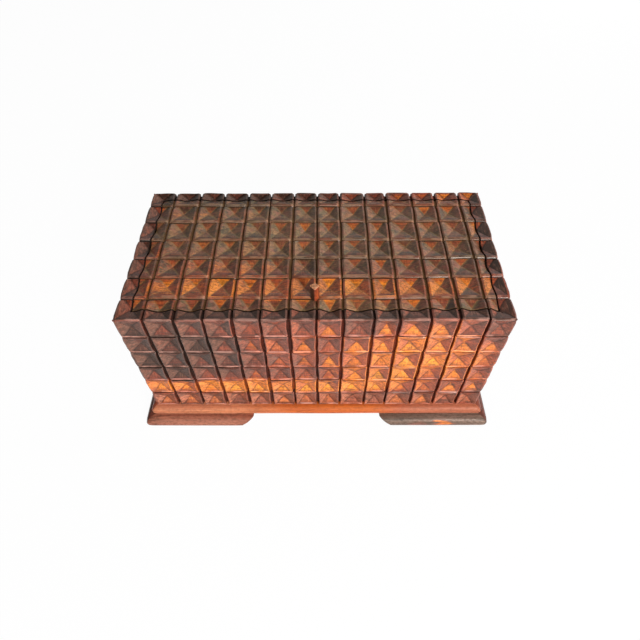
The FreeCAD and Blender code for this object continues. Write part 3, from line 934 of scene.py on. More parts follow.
@dataclass(frozen=True)
class Groove:
    """A cut between two cells: its width at the top and on its floor, its depth, and its bow along a cell."""

    width: float
    floor: float
    depth: float
    bow: float = 0.0


@dataclass(frozen=True)
class Brim:
    """How pockets end on one side: the rim's width, the share of the depth left there, and the rim's rub and
    painted glint.
    """

    rim: float
    step: float
    rubbed: float


@dataclass(frozen=True)
class Carving:
    """The sizes of the chip carving, in metres, and the shares at which each pocket is ruled."""

    kerf: Groove = Groove(1.5 * MM, 0.7 * MM, 2.3 * MM, 0.25 * MM)
    top_kerf: Groove = Groove(1.5 * MM, 0.7 * MM, 1.5 * MM, -0.05 * MM)
    line: Groove = Groove(0.8 * MM, 0.0, 1.1 * MM)
    side_line: Groove = Groove(0.6 * MM, 0.0, 0.6 * MM)
    lip: float = 0.1
    arris_round: float = 0.9 * MM
    arris_rim: float = 0.3 * MM
    arris_turns: tuple[tuple[float, float], ...] = ((45.0, 1.0), (22.5, 0.8), (0.0, 0.5))
    corner_round: float = 1.1 * MM
    rim_wear: float = 0.4
    floor_free: float = 0.7
    sawn_rise: float = 6.0 * MM
    ridge: float = 0.25 * MM
    shares: tuple[float, ...] = (0.0, 0.55, 1.0)
    spacing: tuple[float, ...] = (0.0, 0.5, 0.9, 1.0)
    pocket_depth: float = 2.8 * MM
    top_depth: float = 2.35 * MM
    depth_spread: float = 0.15
    apex_drift: float = 0.8 * MM
    edge_drift: float = 0.35 * MM
    lift: float = 0.25 * MM
    scoop: float = 0.15
    # Each brim's last number is the share of rub and painted glint on its rims; the rims that catch the light
    # get most.
    post_brim: Brim = Brim(0.5 * MM, 0.0, 0.2)
    top_post_brim: Brim = Brim(0.9 * MM, 0.0, 0.25)
    near_brim: Brim = Brim(1.5 * MM, 0.06, 0.8)
    far_brim: Brim = Brim(0.4 * MM, 0.36, 0.3)
    lower_brim: Brim = Brim(1.0 * MM, 0.22, 1.0)
    upper_brim: Brim = Brim(0.4 * MM, 0.08, 0.4)
    # Share of painted sheen per facet (left, right, low, high), by the way the facet faces the bright room.
    top_bloom: tuple[float, ...] = (0.85, 0.05, 0.5, 0.0)
    side_bloom: tuple[float, ...] = (1.0, 0.1, 0.0, 0.1)
    top_lean: float = 2.0 * MM
    # Tone shift per facet (rim, left, right, low, high): painted shade and light, each facet darker or
    # lighter by the way it faces the lamps.
    top_turn: tuple[float, ...] = (-0.2, -0.08, -0.34, -0.14, -0.04)
    side_turn: tuple[float, ...] = (-0.05, -0.05, -0.14, 0.06, -0.06)


@dataclass(frozen=True)
class Line:
    """One ruled line: its place, cell and number in the pocket, and what a groove or an arris does to it."""

    place: float
    cell: int
    step: int
    middle: float
    half: float
    rubbed: float
    cut: float = 0.0
    drop: float = 0.0
    edge: float = 0.0
    border: float = 0.0
    free: float = 1.0


@dataclass
class Ruling:
    """The lines ruled across a face in one direction, cell after cell."""

    bounds: Sequence[float]
    groove: Groove
    ends: tuple[Edge, Edge]
    brims: tuple[Brim, Brim]
    carving: Carving
    spacing: Sequence[float]
    arris_brim: Brim | None = None
    lines: list[Line] = field(default_factory=list)

    def __post_init__(self) -> None:
        """Rules every line of every cell."""
        last = len(self.bounds) - 2
        for cell, (low, high) in enumerate(zip(self.bounds, self.bounds[1:])):
            near = self.border(self.ends[0]) if cell == 0 else self.flank(True)
            far = self.border(self.ends[1]) if cell == last else self.flank(False)
            low_rim = self.carving.arris_rim if cell == 0 else self.brims[0].rim
            high_rim = self.carving.arris_rim if cell == last else self.brims[1].rim
            start, stop = low + near[-1]["place"] + low_rim, high - far[-1]["place"] - high_rim
            middle, half = (start + stop) / 2.0, (stop - start) / 2.0
            if self.arris_brim:
                start += (self.arris_brim.rim - low_rim) * (cell > 0)
                stop -= (self.arris_brim.rim - high_rim) * (cell < last)
            outside = len(self.carving.shares) + 1
            own = {"cell": cell, "middle": middle, "half": half}
            for spot in near:
                spot["place"] = low + spot["place"]
                self.lines.append(Line(step=-outside, rubbed=self.brims[0].rubbed, **own, **spot))
            top = len(self.spacing) - 1
            for step in range(-top, top + 1):
                reach = math.copysign(self.spacing[abs(step)], step)
                rubbed = self.brims[step > 0].rubbed if abs(step) == top else 0.0
                edge = self.carving.rim_wear if abs(step) == top else 0.0
                place = start + (stop - start) * (reach + 1.0) / 2.0
                self.lines.append(Line(place=place, step=step, rubbed=rubbed, edge=edge, **own))
            for spot in reversed(far):
                spot["place"] = high - spot["place"]
                self.lines.append(Line(step=outside, rubbed=self.brims[1].rubbed, **own, **spot))

    def border(self, edge: Edge) -> list[dict[str, float]]:
        """Lists the lines from the end of a face inwards.

        Args:
            edge: How the face ends.

        Returns:
            The numbers of each line, with its drop below the face where the arris is worn.
        """
        if edge is Edge.SAWN:
            return [{"place": 0.0, "free": 0.0}, {"place": self.carving.arris_rim, "free": 0.0}]
        worn = self.carving.arris_round
        found = []
        for degrees, share in self.carving.arris_turns:
            turn = math.radians(degrees)
            drop = worn * (1.0 - math.cos(turn))
            found.append({"place": worn * (1.0 - math.sin(turn)), "drop": drop, "border": share, "free": 0.0})
        return found

    def flank(self, near: bool) -> list[dict[str, float]]:
        """Lists the lines from the middle of a groove outwards; a groove with no floor has one middle line.

        Args:
            near: Whether the groove is at the near end of its cell.

        Returns:
            The numbers of each line.
        """
        free = self.carving.floor_free if self.groove.floor else 0.0
        floor = {"place": self.groove.floor / 2.0, "cut": 1.0, "free": free}
        lip = self.carving.lip
        edge = {"place": self.groove.width / 2.0, "cut": lip, "edge": 1.0, "free": 1.0 - lip}
        return [floor, edge] if near or self.groove.floor else [edge]

    def column(self, name: str) -> np.ndarray:
        """Gives one number of every line."""
        return np.array([getattr(line, name) for line in self.lines])


@dataclass
class CarvedSheet:
    """One carved face before it is joined to its board: a ruled sheet that the tree cuts."""

    name: str
    across: Ruling
    upright: Ruling
    origin: Triple
    along: Triple
    up: Triple
    out: Triple
    meets: float
    depth: float
    # The share of painted sheen per facet.
    bloom: tuple[float, ...]
    # The tone shift per facet that paints shade and light.
    turned: tuple[float, ...]
    lean: float = 0.0
    seed: int = 0

    def pair(self, name: str) -> tuple[np.ndarray, np.ndarray]:
        """Gives one number of the lines across as a column, and of the upright lines as a row."""
        return self.across.column(name)[:, None], self.upright.column(name)[None, :]

    def ruled(self) -> Mesh:
        """Makes the flat sheet, with the numbers that the carving tree reads.

        Returns:
            The sheet's mesh.
        """
        u_lines, v_lines = self.across, self.upright
        run, hollow, valley = self.pockets()
        corner = self.corners()
        cut_u, cut_v = self.pair("cut")
        u_place = self.held_back(run, cut_v * v_lines.groove.depth, u_lines)
        v_plain = np.broadcast_to(self.pair("place")[1], run.shape)
        v_place = self.held_back(v_plain, cut_u * self.meets, v_lines).copy()
        for place, lines, first, last in (
            (u_place, u_lines, np.s_[0, :], np.s_[-1, :]),
            (v_place, v_lines, np.s_[:, 0], np.s_[:, -1]),
        ):
            if lines.ends[0] is Edge.ARRIS:
                place[first] += corner[first]
            if lines.ends[1] is Edge.ARRIS:
                place[last] -= corner[last]
        points = (
            np.array(self.origin)
            + u_place[..., None] * np.array(self.along)
            + v_place[..., None] * np.array(self.up)
        )
        faces, facets = self.faces()
        mesh = bpy.data.meshes.new(self.name)
        mesh.from_pydata(points.reshape(-1, 3).tolist(), [], faces)
        self.mark(mesh, hollow, valley, corner)
        self.number(mesh, facets)
        return mesh

    def pockets(self) -> tuple[np.ndarray, np.ndarray, np.ndarray]:
        """Works out how the pockets' lines run: at a stepped brim, a facet is narrower than its cell.

        Returns:
            For every point, the place across the face, the share of the pocket's depth and the distance
            from a valley.
        """
        carving = self.across.carving
        last = len(carving.shares) - 1
        shares, spacing = np.array(carving.shares), np.array(carving.spacing)
        step_u, step_v = self.pair("step")
        reach_u, reach_v = np.minimum(np.abs(step_u), last + 1), np.minimum(np.abs(step_v), last)
        left = np.where(step_v > 0, self.upright.brims[1].step, self.upright.brims[0].step)
        valley = (1.0 - left) * shares[reach_v]
        inside = reach_u <= reach_v
        beyond = (spacing[reach_u] - spacing[reach_v]) / (1.0 - spacing[reach_v])
        share_u = shares[np.minimum(reach_u, last)]
        wide = np.where(inside, share_u * (1.0 - left), valley + (1.0 - valley) * beyond)
        hollow = np.where(inside, 1.0 - valley, 1.0 - wide)
        skew = np.where(inside, share_u - shares[reach_v], wide - valley)
        middle, half = self.pair("middle")[0], self.pair("half")[0]
        border_u, border_v = self.pair("border")
        own = (np.abs(step_u) <= last + 1) & (border_v == 0.0)
        sawn = (border_u == 0.0) & (border_v == 0.0) & (np.abs(step_v) <= last)
        bow = np.where(sawn, self.across.groove.bow * (1.0 - shares[reach_v] ** 2), 0.0)
        inward = middle + np.sign(step_u) * (half * wide - bow * wide**4)
        beside = self.pair("place")[0] - np.sign(step_u) * bow
        return np.where(own, inward, beside), hollow, np.abs(skew)

    def corners(self) -> np.ndarray:
        """Works out the wear of the blocks' corners, where two grooves meet or one meets an arris.

        Returns:
            How far each point is worn down.
        """
        (edge_u, edge_v), (border_u, border_v) = self.pair("edge"), self.pair("border")
        share = np.maximum(edge_u * edge_v, np.maximum(edge_u * border_v, border_u * edge_v))
        return share * self.across.carving.corner_round

    def held_back(self, place: np.ndarray, depth: np.ndarray, lines: Ruling) -> np.ndarray:
        """Keeps the end of a groove behind the floor of the groove that it meets round an arris.

        Args:
            place: Where the points are.
            depth: The depth of the grooves that run out over these lines' ends.
            lines: The ruling that the points are from.

        Returns:
            The places, held back.
        """
        low = lines.bounds[0] + (depth if lines.ends[0] is Edge.ARRIS else 0.0)
        high = lines.bounds[-1] - (depth if lines.ends[1] is Edge.ARRIS else 0.0)
        return np.minimum(np.maximum(place, low), high)

    def faces(self) -> tuple[list[tuple[int, ...]], list[Facet]]:
        """Lists the sheet's faces, with the squares on a pocket's valleys split along them.

        Returns:
            The corner numbers of each face, and its facet.
        """
        last = len(self.across.carving.shares) - 1
        u_step, v_step = self.across.column("step").tolist(), self.upright.column("step").tolist()
        rows = len(v_step)
        found, facets = [], []
        for i, (u_first, u_second) in enumerate(zip(u_step, u_step[1:])):
            for j, (v_first, v_second) in enumerate(zip(v_step, v_step[1:])):
                a, b = i * rows + j, (i + 1) * rows + j
                c, d = b + 1, a + 1
                deep_u, deep_v = min(abs(u_first), abs(u_second)), min(abs(v_first), abs(v_second))
                far_u, far_v = max(abs(u_first), abs(u_second)), max(abs(v_first), abs(v_second))
                on_right, on_top = u_first + u_second > 0, v_first + v_second > 0
                beside = Facet.RIGHT if on_right else Facet.LEFT
                above = Facet.HIGH if on_top else Facet.LOW
                if far_u > last + 1 or far_v > last:
                    found.append((a, b, c, d))
                    facets.append(Facet.RIM)
                elif deep_u != deep_v:
                    found.append((a, b, c, d))
                    facets.append(beside if deep_u > deep_v else above)
                elif on_right == on_top:
                    found += [(a, b, c), (a, c, d)]
                    facets += [beside, above] if on_right else [above, beside]
                else:
                    found += [(a, b, d), (b, c, d)]
                    facets += [above, beside] if on_right else [beside, above]
        return found, facets

    def mark(self, mesh: Mesh, hollow: np.ndarray, valley: np.ndarray, corner: np.ndarray) -> None:
        """Writes the numbers of every point: its cell, its place in the pocket, its grooves, and its rub and
        painted glint.

        Args:
            mesh: The flat sheet.
            hollow: The share of the pocket's depth.
            valley: The distance from a valley of the pocket.
            corner: How far a block's corner is worn down.
        """
        carving = self.across.carving
        last = len(carving.shares) - 1
        (step_u, step_v), (cut_u, cut_v), (drop_u, drop_v) = map(self.pair, ("step", "cut", "drop"))
        (free_u, free_v), (rub_u, rub_v), (cell_u, cell_v) = map(self.pair, ("free", "rubbed", "cell"))
        pocket = (np.abs(step_u) <= last + 1) & (np.abs(step_v) <= last)
        level = pocket | (self.pair("border")[1] > 0.0)
        ridge = np.where(level, 0.0, np.maximum(hollow * self.depth - carving.ridge, 0.0))
        groove = np.maximum(cut_u, cut_v)
        numbers = {
            "share_u": np.clip(step_u / (last + 1.0), -1.0, 1.0),
            "share_v": np.clip(step_v / float(last), -1.0, 1.0),
            "hollow": np.where(pocket, hollow, 0.0),
            "block": free_u * free_v,
            "cut_u": cut_u,
            "cut_v": cut_v,
            "drop": np.maximum(np.maximum(drop_u, drop_v) + corner, ridge),
            "groove": groove,
            "valley": valley,
            "rubbed": np.maximum(rub_u, rub_v) * (1.0 - groove),
            "skin": self.skin(),
        }
        for name, values in numbers.items():
            layer = mesh.attributes.new(name, "FLOAT", "POINT")
            spread = np.broadcast_to(values, hollow.shape)
            layer.data.foreach_set("value", spread.astype(np.float32).ravel())
        layer = mesh.attributes.new("cell", "INT", "POINT")
        layer.data.foreach_set("value", (cell_u * ROW_ROOM + cell_v).astype(np.int32).ravel())

    def number(self, mesh: Mesh, facets: Sequence[Facet]) -> None:
        """Numbers the facets of every cell, and marks the dull rims, cuts across the fibres, low facets, and
        each facet's painted sheen and painted shade.

        Args:
            mesh: The flat sheet.
            facets: The facet of each face in its cell.
        """
        cells = [mesh.attributes["cell"].data[face.vertices[0]].value for face in mesh.polygons]
        own = mesh.attributes.new("facet", "INT", "FACE")
        own.data.foreach_set("value", [cell * FACET_ROOM + facet for cell, facet in zip(cells, facets)])
        rubbed = [point.value for point in mesh.attributes["rubbed"].data]
        marks = {
            "end_grain": [1.0 if facet in (Facet.LEFT, Facet.RIGHT) else 0.0 for facet in facets],
            "pocket": [0.0 if facet is Facet.RIM else 1.0 for facet in facets],
            "low": [1.0 if facet is Facet.LOW else 0.0 for facet in facets],
            "bloom": [(0.0, *self.bloom)[facet] for facet in facets],
            "turned": [self.turned[facet] for facet in facets],
            "rim": [min(rubbed[corner] for corner in face.vertices) for face in mesh.polygons],
        }
        for name, values in marks.items():
            mesh.attributes.new(name, "FLOAT", "FACE").data.foreach_set("value", values)

    def skin(self) -> np.ndarray:
        """Gives the share of the hand's unevenness: none on a sawn edge, all of it a little above."""
        rise = (self.pair("place")[1] - self.upright.bounds[0]) / self.upright.carving.sawn_rise
        return np.clip(rise, 0.0, 1.0) if self.upright.ends[0] is Edge.SAWN else np.ones_like(rise)

    def carved(self, tree: Tree, carving: Carving) -> Mesh:
        """Cuts the pockets and grooves.

        Args:
            tree: The carving tree.
            carving: The sizes.

        Returns:
            The carved sheet.
        """
        values = {
            "Pocket depth": self.depth,
            "Depth spread": carving.depth_spread,
            "Apex drift": carving.apex_drift,
            "Apex lean": self.lean,
            "Edge drift": carving.edge_drift,
            "Lift": carving.lift,
            "Scoop": carving.scoop,
            "Across depth": self.across.groove.depth,
            "Upright depth": self.upright.groove.depth,
            "Along": self.along,
            "Up": self.up,
            "Out": self.out,
            "Seed": self.seed,
        }
        return evaluated(self.ruled(), "NODES", inputs=values, node_group=tree)


def keep_side(sheet: Draft, point: Triple, outward: Triple, strip: float = 0.0) -> None:
    """Saws a sheet along a plane and drops what is on the outward side.

    Args:
        sheet: The sheet.
        point: A point of the plane.
        outward: The plane's outward direction.
        strip: How far inside the cut a second line is ruled, where there is one.
    """
    for inset in (strip, 0.0) if strip else (0.0,):
        spot = [place - inset * way for place, way in zip(point, outward)]
        bmesh.ops.bisect_plane(
            sheet,
            geom=sheet.verts[:] + sheet.edges[:] + sheet.faces[:],
            dist=SAW_TOUCH,
            plane_co=spot,
            plane_no=outward,
            clear_outer=inset == 0.0,
            clear_inner=False,
        )


def walk_outline(sheet: Draft) -> Chain:
    """Walks once round the open edge of a sheet.

    Args:
        sheet: The sheet, with one open edge.

    Returns:
        The points of the open edge, in order.
    """
    rim = [edge for edge in sheet.edges if edge.is_boundary]
    start = min((vert for edge in rim for vert in edge.verts), key=lambda vert: tuple(vert.co))
    walk, before = [start], None
    while True:
        ahead = [edge for edge in walk[-1].link_edges if edge.is_boundary and edge is not before]
        before = ahead[0]
        after = before.other_vert(walk[-1])
        if after is start:
            break
        walk.append(after)
    if len(walk) != len(rim):
        raise ValueError(f"the sheet has {len(rim)} open edges, and its outline {len(walk)}")
    return walk


def split_outline(walk: Chain, corners: Sequence[Triple]) -> list[Chain]:
    """Splits an outline at the points nearest to its corners.

    Args:
        walk: The outline.
        corners: The corners, in the order in which the chains are wanted.

    Returns:
        One chain from each corner to the next, both included.
    """
    marks = [min(range(len(walk)), key=lambda k: (walk[k].co - Vector(corner)).length) for corner in corners]
    count = len(walk)
    if (marks[1] - marks[0]) % count > (marks[2] - marks[0]) % count:
        walk = walk[::-1]
        marks = [count - 1 - mark for mark in marks]
    chains = []
    for first, last in zip(marks, marks[1:] + marks[:1]):
        chains.append([walk[(first + k) % count] for k in range((last - first) % count + 1)])
    return chains


def paint_gap_shade(board: Draft, chain: Chain) -> None:
    """Marks points for painted shade, as the floor of a groove and of a row line is marked.

    Args:
        board: The mesh.
        chain: The points.
    """
    for name in ("groove", "cut_v"):
        layer = board.verts.layers.float[name]
        for vert in chain:
            vert[layer] = 1.0


def curtain(board: Draft, chain: Chain, drops: Sequence[Drop]) -> list[Chain]:
    """Hangs rows of faces from a chain of points.

    Args:
        board: The mesh.
        chain: The points that the curtain hangs from.
        drops: For each row, the place of its point below a point of the chain.

    Returns:
        Every row of points, the chain first.
    """
    rows = [chain]
    for drop in drops:
        rows.append([board.verts.new(drop(vert.co)) for vert in chain])
    # The first row below the chain, inside the seam's gap, gets painted shade.
    paint_gap_shade(board, rows[1])
    for upper, lower in zip(rows, rows[1:]):
        for k in range(len(chain) - 1):
            board.faces.new((upper[k], upper[k + 1], lower[k + 1], lower[k]))
    return rows


def join_rings(draft: Draft, rings: Sequence[Chain]) -> None:
    """Closes the wall between each ring of points and the next one.

    Args:
        draft: The mesh.
        rings: The rings, each with the same number of points.
    """
    for first, second in zip(rings, rings[1:]):
        for k in range(len(first)):
            after = (k + 1) % len(first)
            draft.faces.new((first[k], first[after], second[after], second[k]))


def finished_mesh(board: Draft, name: str, angle: float = FACET_ANGLE) -> Mesh:
    """Turns a closed board into a mesh that faces outwards, smooth but for its sharp edges.

    Args:
        board: The mesh under construction.
        name: Its name.
        angle: The angle from which an edge stays sharp, in degrees.

    Returns:
        The mesh.
    """
    bmesh.ops.recalc_face_normals(board, faces=board.faces[:])
    mesh = bpy.data.meshes.new(name)
    board.to_mesh(mesh)
    board.free()
    mesh.shade_smooth()
    mesh.set_sharp_from_angle(angle=math.radians(angle))
    return mesh


def eased(mesh: Mesh, width: float) -> Mesh:
    """Takes the sharpness off every edge, as sandpaper does.

    Args:
        mesh: The sharp mesh, which is used up.
        width: How wide the eased edges are.

    Returns:
        The eased mesh.
    """
    limits = {"limit_method": "ANGLE", "angle_limit": math.radians(EASED_ANGLE), "use_clamp_overlap": True}
    return evaluated(mesh, "BEVEL", width=width, segments=EASED_STEPS, harden_normals=False, **limits)


def solid_copy(node: str) -> Mesh:
    """Copies a solid of the frame into a welded mesh.

    Args:
        node: The name of the solid.

    Returns:
        The mesh, with flat faces in one piece.
    """
    copy = bmesh.new()
    copy.from_mesh(frame["nodes"][node].data)
    for layer in list(copy.loops.layers.float_vector.values()):
        copy.loops.layers.float_vector.remove(layer)
    bmesh.ops.remove_doubles(copy, verts=copy.verts[:], dist=SOLID_WELD)
    flat = math.radians(FLAT_ANGLE)
    bmesh.ops.dissolve_limit(copy, angle_limit=flat, verts=copy.verts[:], edges=copy.edges[:])
    for face in copy.faces:
        face.material_index = 0
    return finished_mesh(copy, node)


def stand_in(mesh: Mesh, node: str, body: str) -> None:
    """Puts a finished mesh in the place of the solid of the same name.

    Args:
        mesh: The dressed mesh.
        node: The solid that it stands for.
        body: The body that it moves with.
    """
    piece = placed(f"{node}_dressed", mesh)
    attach(piece, body)
    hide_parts(node)
    LOG.info("%s: %d faces on %s", node, len(mesh.polygons), body)


@dataclass
class CarvedBox:
    """The four carved walls and the carved lid, cut as one block and then sawn apart."""

    carving: Carving = Carving()
    column_drift: tuple[float, ...] = (0.2, 1.3, 1.5, 1.8, 1.4, 1.3, 0.9, 0.0, 0.9, -0.6, 0.8, 0.7, 0.9)
    row_drift: tuple[float, ...] = (-0.2, 0.0, -0.1, 0.1, 1.3, 1.7)
    side_row_drift: tuple[float, ...] = (0.0, 0.1, -0.5, -0.2, -0.4)
    hand: HandSway = HandSway(0.5 * MM, 13.0 * MM, 0.09 * MM, 3.2 * MM)
    seeds: tuple[int, ...] = (3, 11, 19, 27, 35)
    seam_lip: float = 0.4 * MM
    seam_rows: tuple[float, ...] = (1.0, 4.0)
    lid_lip_share: float = 0.08
    seam_strip: float = 0.45 * MM
    seam_wear: float = 0.25 * MM
    cove_rows: int = 8

    def __post_init__(self) -> None:
        """Takes the block's sizes from the frame."""
        low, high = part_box("front_panel")
        self.half_length = high.x
        self.half_depth = -low.y
        self.base, self.top = low.z, high.z
        self.inner_x = -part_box("left_end_panel")[1].x
        self.inner_y = self.half_depth - (self.half_length - self.inner_x)
        self.lid_low, self.lid_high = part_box("lid_panel")
        hinge = next(joint for joint in frame["joints"] if joint["name"] == "lid_hinge")
        self.hinge_y, self.hinge_z = hinge["pos_m"][1], hinge["pos_m"][2]
        self.lid_round = self.lid_high.y - self.hinge_y
        self.cove_round = self.lid_round + self.inner_x - self.lid_high.x

    def bounds(self, length: float, drift: Sequence[float]) -> list[float]:
        """Gives where the cells of a face begin and end, with the hand's drift from an even pitch."""
        pitch = length / (len(drift) + 1)
        return [0.0, *(pitch * (k + 1) + shift * MM for k, shift in enumerate(drift)), length]

    def sheets(self, tree: Tree) -> dict[str, Mesh]:
        """Carves the five faces of the block.

        Args:
            tree: The carving tree.

        Returns:
            The carved sheet of each face by name.
        """
        carving, arris = self.carving, (Edge.ARRIS, Edge.ARRIS)
        column_bounds = self.bounds(2.0 * self.half_length, self.column_drift)
        row_bounds = self.bounds(2.0 * self.half_depth, self.row_drift)
        levels = self.bounds(self.top - self.base, self.side_row_drift)
        posts = (carving.post_brim, carving.post_brim)
        columns = Ruling(column_bounds, carving.kerf, arris, posts, carving, carving.spacing)
        top_posts = (carving.top_post_brim, carving.top_post_brim)
        top_columns = Ruling(
            column_bounds, carving.top_kerf, arris, top_posts, carving, carving.spacing, carving.post_brim
        )
        brims = (carving.near_brim, carving.far_brim)
        rows = Ruling(row_bounds, carving.line, arris, brims, carving, carving.shares)
        brims = (carving.lower_brim, carving.upper_brim)
        side_rows = Ruling(levels, carving.side_line, (Edge.SAWN, Edge.ARRIS), brims, carving, carving.shares)
        corner = (-self.half_length, -self.half_depth)
        x_way, y_way, z_way = (1.0, 0.0, 0.0), (0.0, 1.0, 0.0), (0.0, 0.0, 1.0)
        less_x, less_y = (-1.0, 0.0, 0.0), (0.0, -1.0, 0.0)
        front, left, upper = (*corner, self.base), (*corner, self.base), (*corner, self.top)
        back, right = (corner[0], self.half_depth, self.base), (self.half_length, corner[1], self.base)
        kerf, top_kerf, line = carving.kerf.depth, carving.top_kerf.depth, carving.line.depth
        top_way = (carving.top_depth, carving.top_bloom, carving.top_turn, carving.top_lean)
        side_way = (carving.pocket_depth, carving.side_bloom, carving.side_turn)
        plans = [
            ("top", top_columns, rows, upper, x_way, y_way, z_way, kerf, *top_way),
            ("front", columns, side_rows, front, x_way, z_way, less_y, top_kerf, *side_way),
            ("back", columns, side_rows, back, x_way, z_way, y_way, top_kerf, *side_way),
            ("left", rows, side_rows, left, y_way, z_way, less_x, line, *side_way),
            ("right", rows, side_rows, right, y_way, z_way, x_way, line, *side_way),
        ]
        sheets = [CarvedSheet(*plan, seed=seed) for plan, seed in zip(plans, self.seeds)]
        return {sheet.name: sheet.carved(tree, carving) for sheet in sheets}

    def arc(self, level: float, radius: float) -> float:
        """Gives how far back a round about the hinge line reaches at a level."""
        return self.hinge_y + math.sqrt(max(radius**2 - (level - self.hinge_z) ** 2, 0.0))

    def cove_shares(self) -> list[float]:
        """Gives the shares of the way down at which a round about the hinge line has its rows."""
        return [row / self.cove_rows for row in range(1, self.cove_rows + 1)]

    def saw_round(self, sheet: Draft, radius: float, keep_front: bool) -> None:
        """Saws the top sheet along a round about the hinge line.

        Args:
            sheet: The sheet.
            radius: The radius of the cut.
            keep_front: Whether the part in front of the cut stays, or the part behind it.
        """
        outward = (0.0, 1.0, 0.0) if keep_front else (0.0, -1.0, 0.0)
        for vert in sheet.verts:
            vert.co.y -= self.arc(vert.co.z, radius)
        keep_side(sheet, (0.0, 0.0, 0.0), outward, self.seam_strip)
        for vert in sheet.verts:
            vert.co.y += self.arc(vert.co.z, radius)

    def wall(self, side: Side, sheets: dict[str, Mesh]) -> Draft:
        """Makes one mitred wall: its carved face, its strip of the top, and the plain faces behind.

        Args:
            side: Which wall.
            sheets: The carved faces.

        Returns:
            The closed wall.
        """
        board = bmesh.new()
        board.from_mesh(sheets["top"])
        reach = self.half_depth if side.lengthwise else self.half_length
        inner = self.inner_y if side.lengthwise else self.inner_x
        run = self.half_length if side.lengthwise else self.half_depth
        if side is Side.BACK:
            self.saw_round(board, self.cove_round, keep_front=False)
        else:
            keep_side(board, side.place(0.0, inner, 0.0), side.place(0.0, -1.0, 0.0), self.seam_strip)
        for end in (-1.0, 1.0):
            keep_side(board, side.place(end * run, reach, 0.0), side.place(end, -1.0, 0.0))
        board.from_mesh(sheets[side.name.lower()])
        bmesh.ops.remove_doubles(board, verts=board.verts[:], dist=SHEET_WELD)
        inner_run = run - (reach - inner)
        corners = [
            side.place(-run, reach, self.base),
            side.place(-inner_run, inner, self.top),
            side.place(inner_run, inner, self.top),
            side.place(run, reach, self.base),
        ]
        first_mitre, seam, last_mitre, foot = split_outline(walk_outline(board), corners)
        self.wear_and_shade_seam(board, seam)
        rows = curtain(board, seam, self.wall_drops(side))
        low = [board.verts.new(side.place(end * inner_run, inner, self.base)) for end in (-1.0, 1.0)]
        board.faces.new(first_mitre + [row[0] for row in rows[1:]] + [low[0]])
        board.faces.new(last_mitre + [low[1]] + [row[-1] for row in rows[:0:-1]])
        board.faces.new(rows[-1] + [low[1], low[0]])
        board.faces.new(foot + [low[0], low[1]])
        return board

    def wear_and_shade_seam(self, board: Draft, seam: Chain) -> None:
        """Wears the arris at the lid's seam down and marks it for painted shade.

        Args:
            board: The mesh.
            seam: The points of the arris.
        """
        paint_gap_shade(board, seam)
        for vert in seam:
            vert.co.z -= self.seam_wear

    def wall_drops(self, side: Side) -> list[Drop]:
        """Plans the rows behind a wall's seam: a lip, or the cove that clears the lid on the back wall.

        Args:
            side: Which wall.

        Returns:
            The drop of each row.
        """
        if side is not Side.BACK:
            depths = [self.seam_lip * times for times in self.seam_rows]
            return [lambda spot, deep=deep: (spot.x, spot.y, spot.z - deep) for deep in depths]
        inset = self.inner_y - self.hinge_y
        foot = self.hinge_z - math.sqrt(self.cove_round**2 - inset**2)
        return [self.round_drop(foot, self.cove_round, share) for share in self.cove_shares()]

    def round_drop(self, foot: float, radius: float, share: float) -> Drop:
        """Plans a row of a round about the hinge line.

        Args:
            foot: The level at which the round ends.
            radius: Its radius.
            share: How much of the way down to its foot the row is.

        Returns:
            The drop of the row.
        """

        def drop(spot: Vector) -> Triple:
            """Finds the place of one point of the row."""
            level = spot.z + (foot - spot.z) * share
            return (spot.x, self.arc(level, radius), level)

        return drop

    def lid(self, sheets: dict[str, Mesh]) -> Draft:
        """Makes the lid: its carved face, its straight edges and the round edge at the hinge.

        Args:
            sheets: The carved faces.

        Returns:
            The closed lid.
        """
        board = bmesh.new()
        board.from_mesh(sheets["top"])
        under = self.lid_low.z
        self.saw_round(board, self.lid_round, keep_front=True)
        keep_side(board, (0.0, self.lid_low.y, 0.0), (0.0, -1.0, 0.0), self.seam_strip)
        for end in (-1.0, 1.0):
            keep_side(board, (end * self.lid_high.x, 0.0, 0.0), (end, 0.0, 0.0), self.seam_strip)
        bmesh.ops.remove_doubles(board, verts=board.verts[:], dist=SHEET_WELD)
        top, front = self.lid_high.z, self.lid_low.y
        back = self.arc(top, self.lid_round)
        spots = ((-1.0, front), (1.0, front), (1.0, back), (-1.0, back))
        corners = [(end * self.lid_high.x, place, top) for end, place in spots]
        front_edge, right_edge, back_edge, left_edge = split_outline(walk_outline(board), corners)
        self.wear_and_shade_seam(board, front_edge + right_edge[1:] + back_edge[1:] + left_edge[1:-1])
        lip = self.seam_lip
        front_drops = [lambda spot: (spot.x, spot.y, spot.z - lip), lambda spot: (spot.x, spot.y, under)]
        front_rows = curtain(board, front_edge, front_drops)
        shares = [self.lid_lip_share, *self.cove_shares()]
        back_drops = [self.round_drop(under, self.lid_round, share) for share in shares]
        back_rows = curtain(board, back_edge, back_drops)
        first, last = [row[0] for row in front_rows], [row[-1] for row in front_rows]
        right_back, left_back = [row[0] for row in back_rows], [row[-1] for row in back_rows]
        board.faces.new(right_edge + right_back[1:] + last[:0:-1])
        board.faces.new(left_edge + first[1:] + left_back[:0:-1])
        board.faces.new(front_rows[-1] + back_rows[-1])
        return board

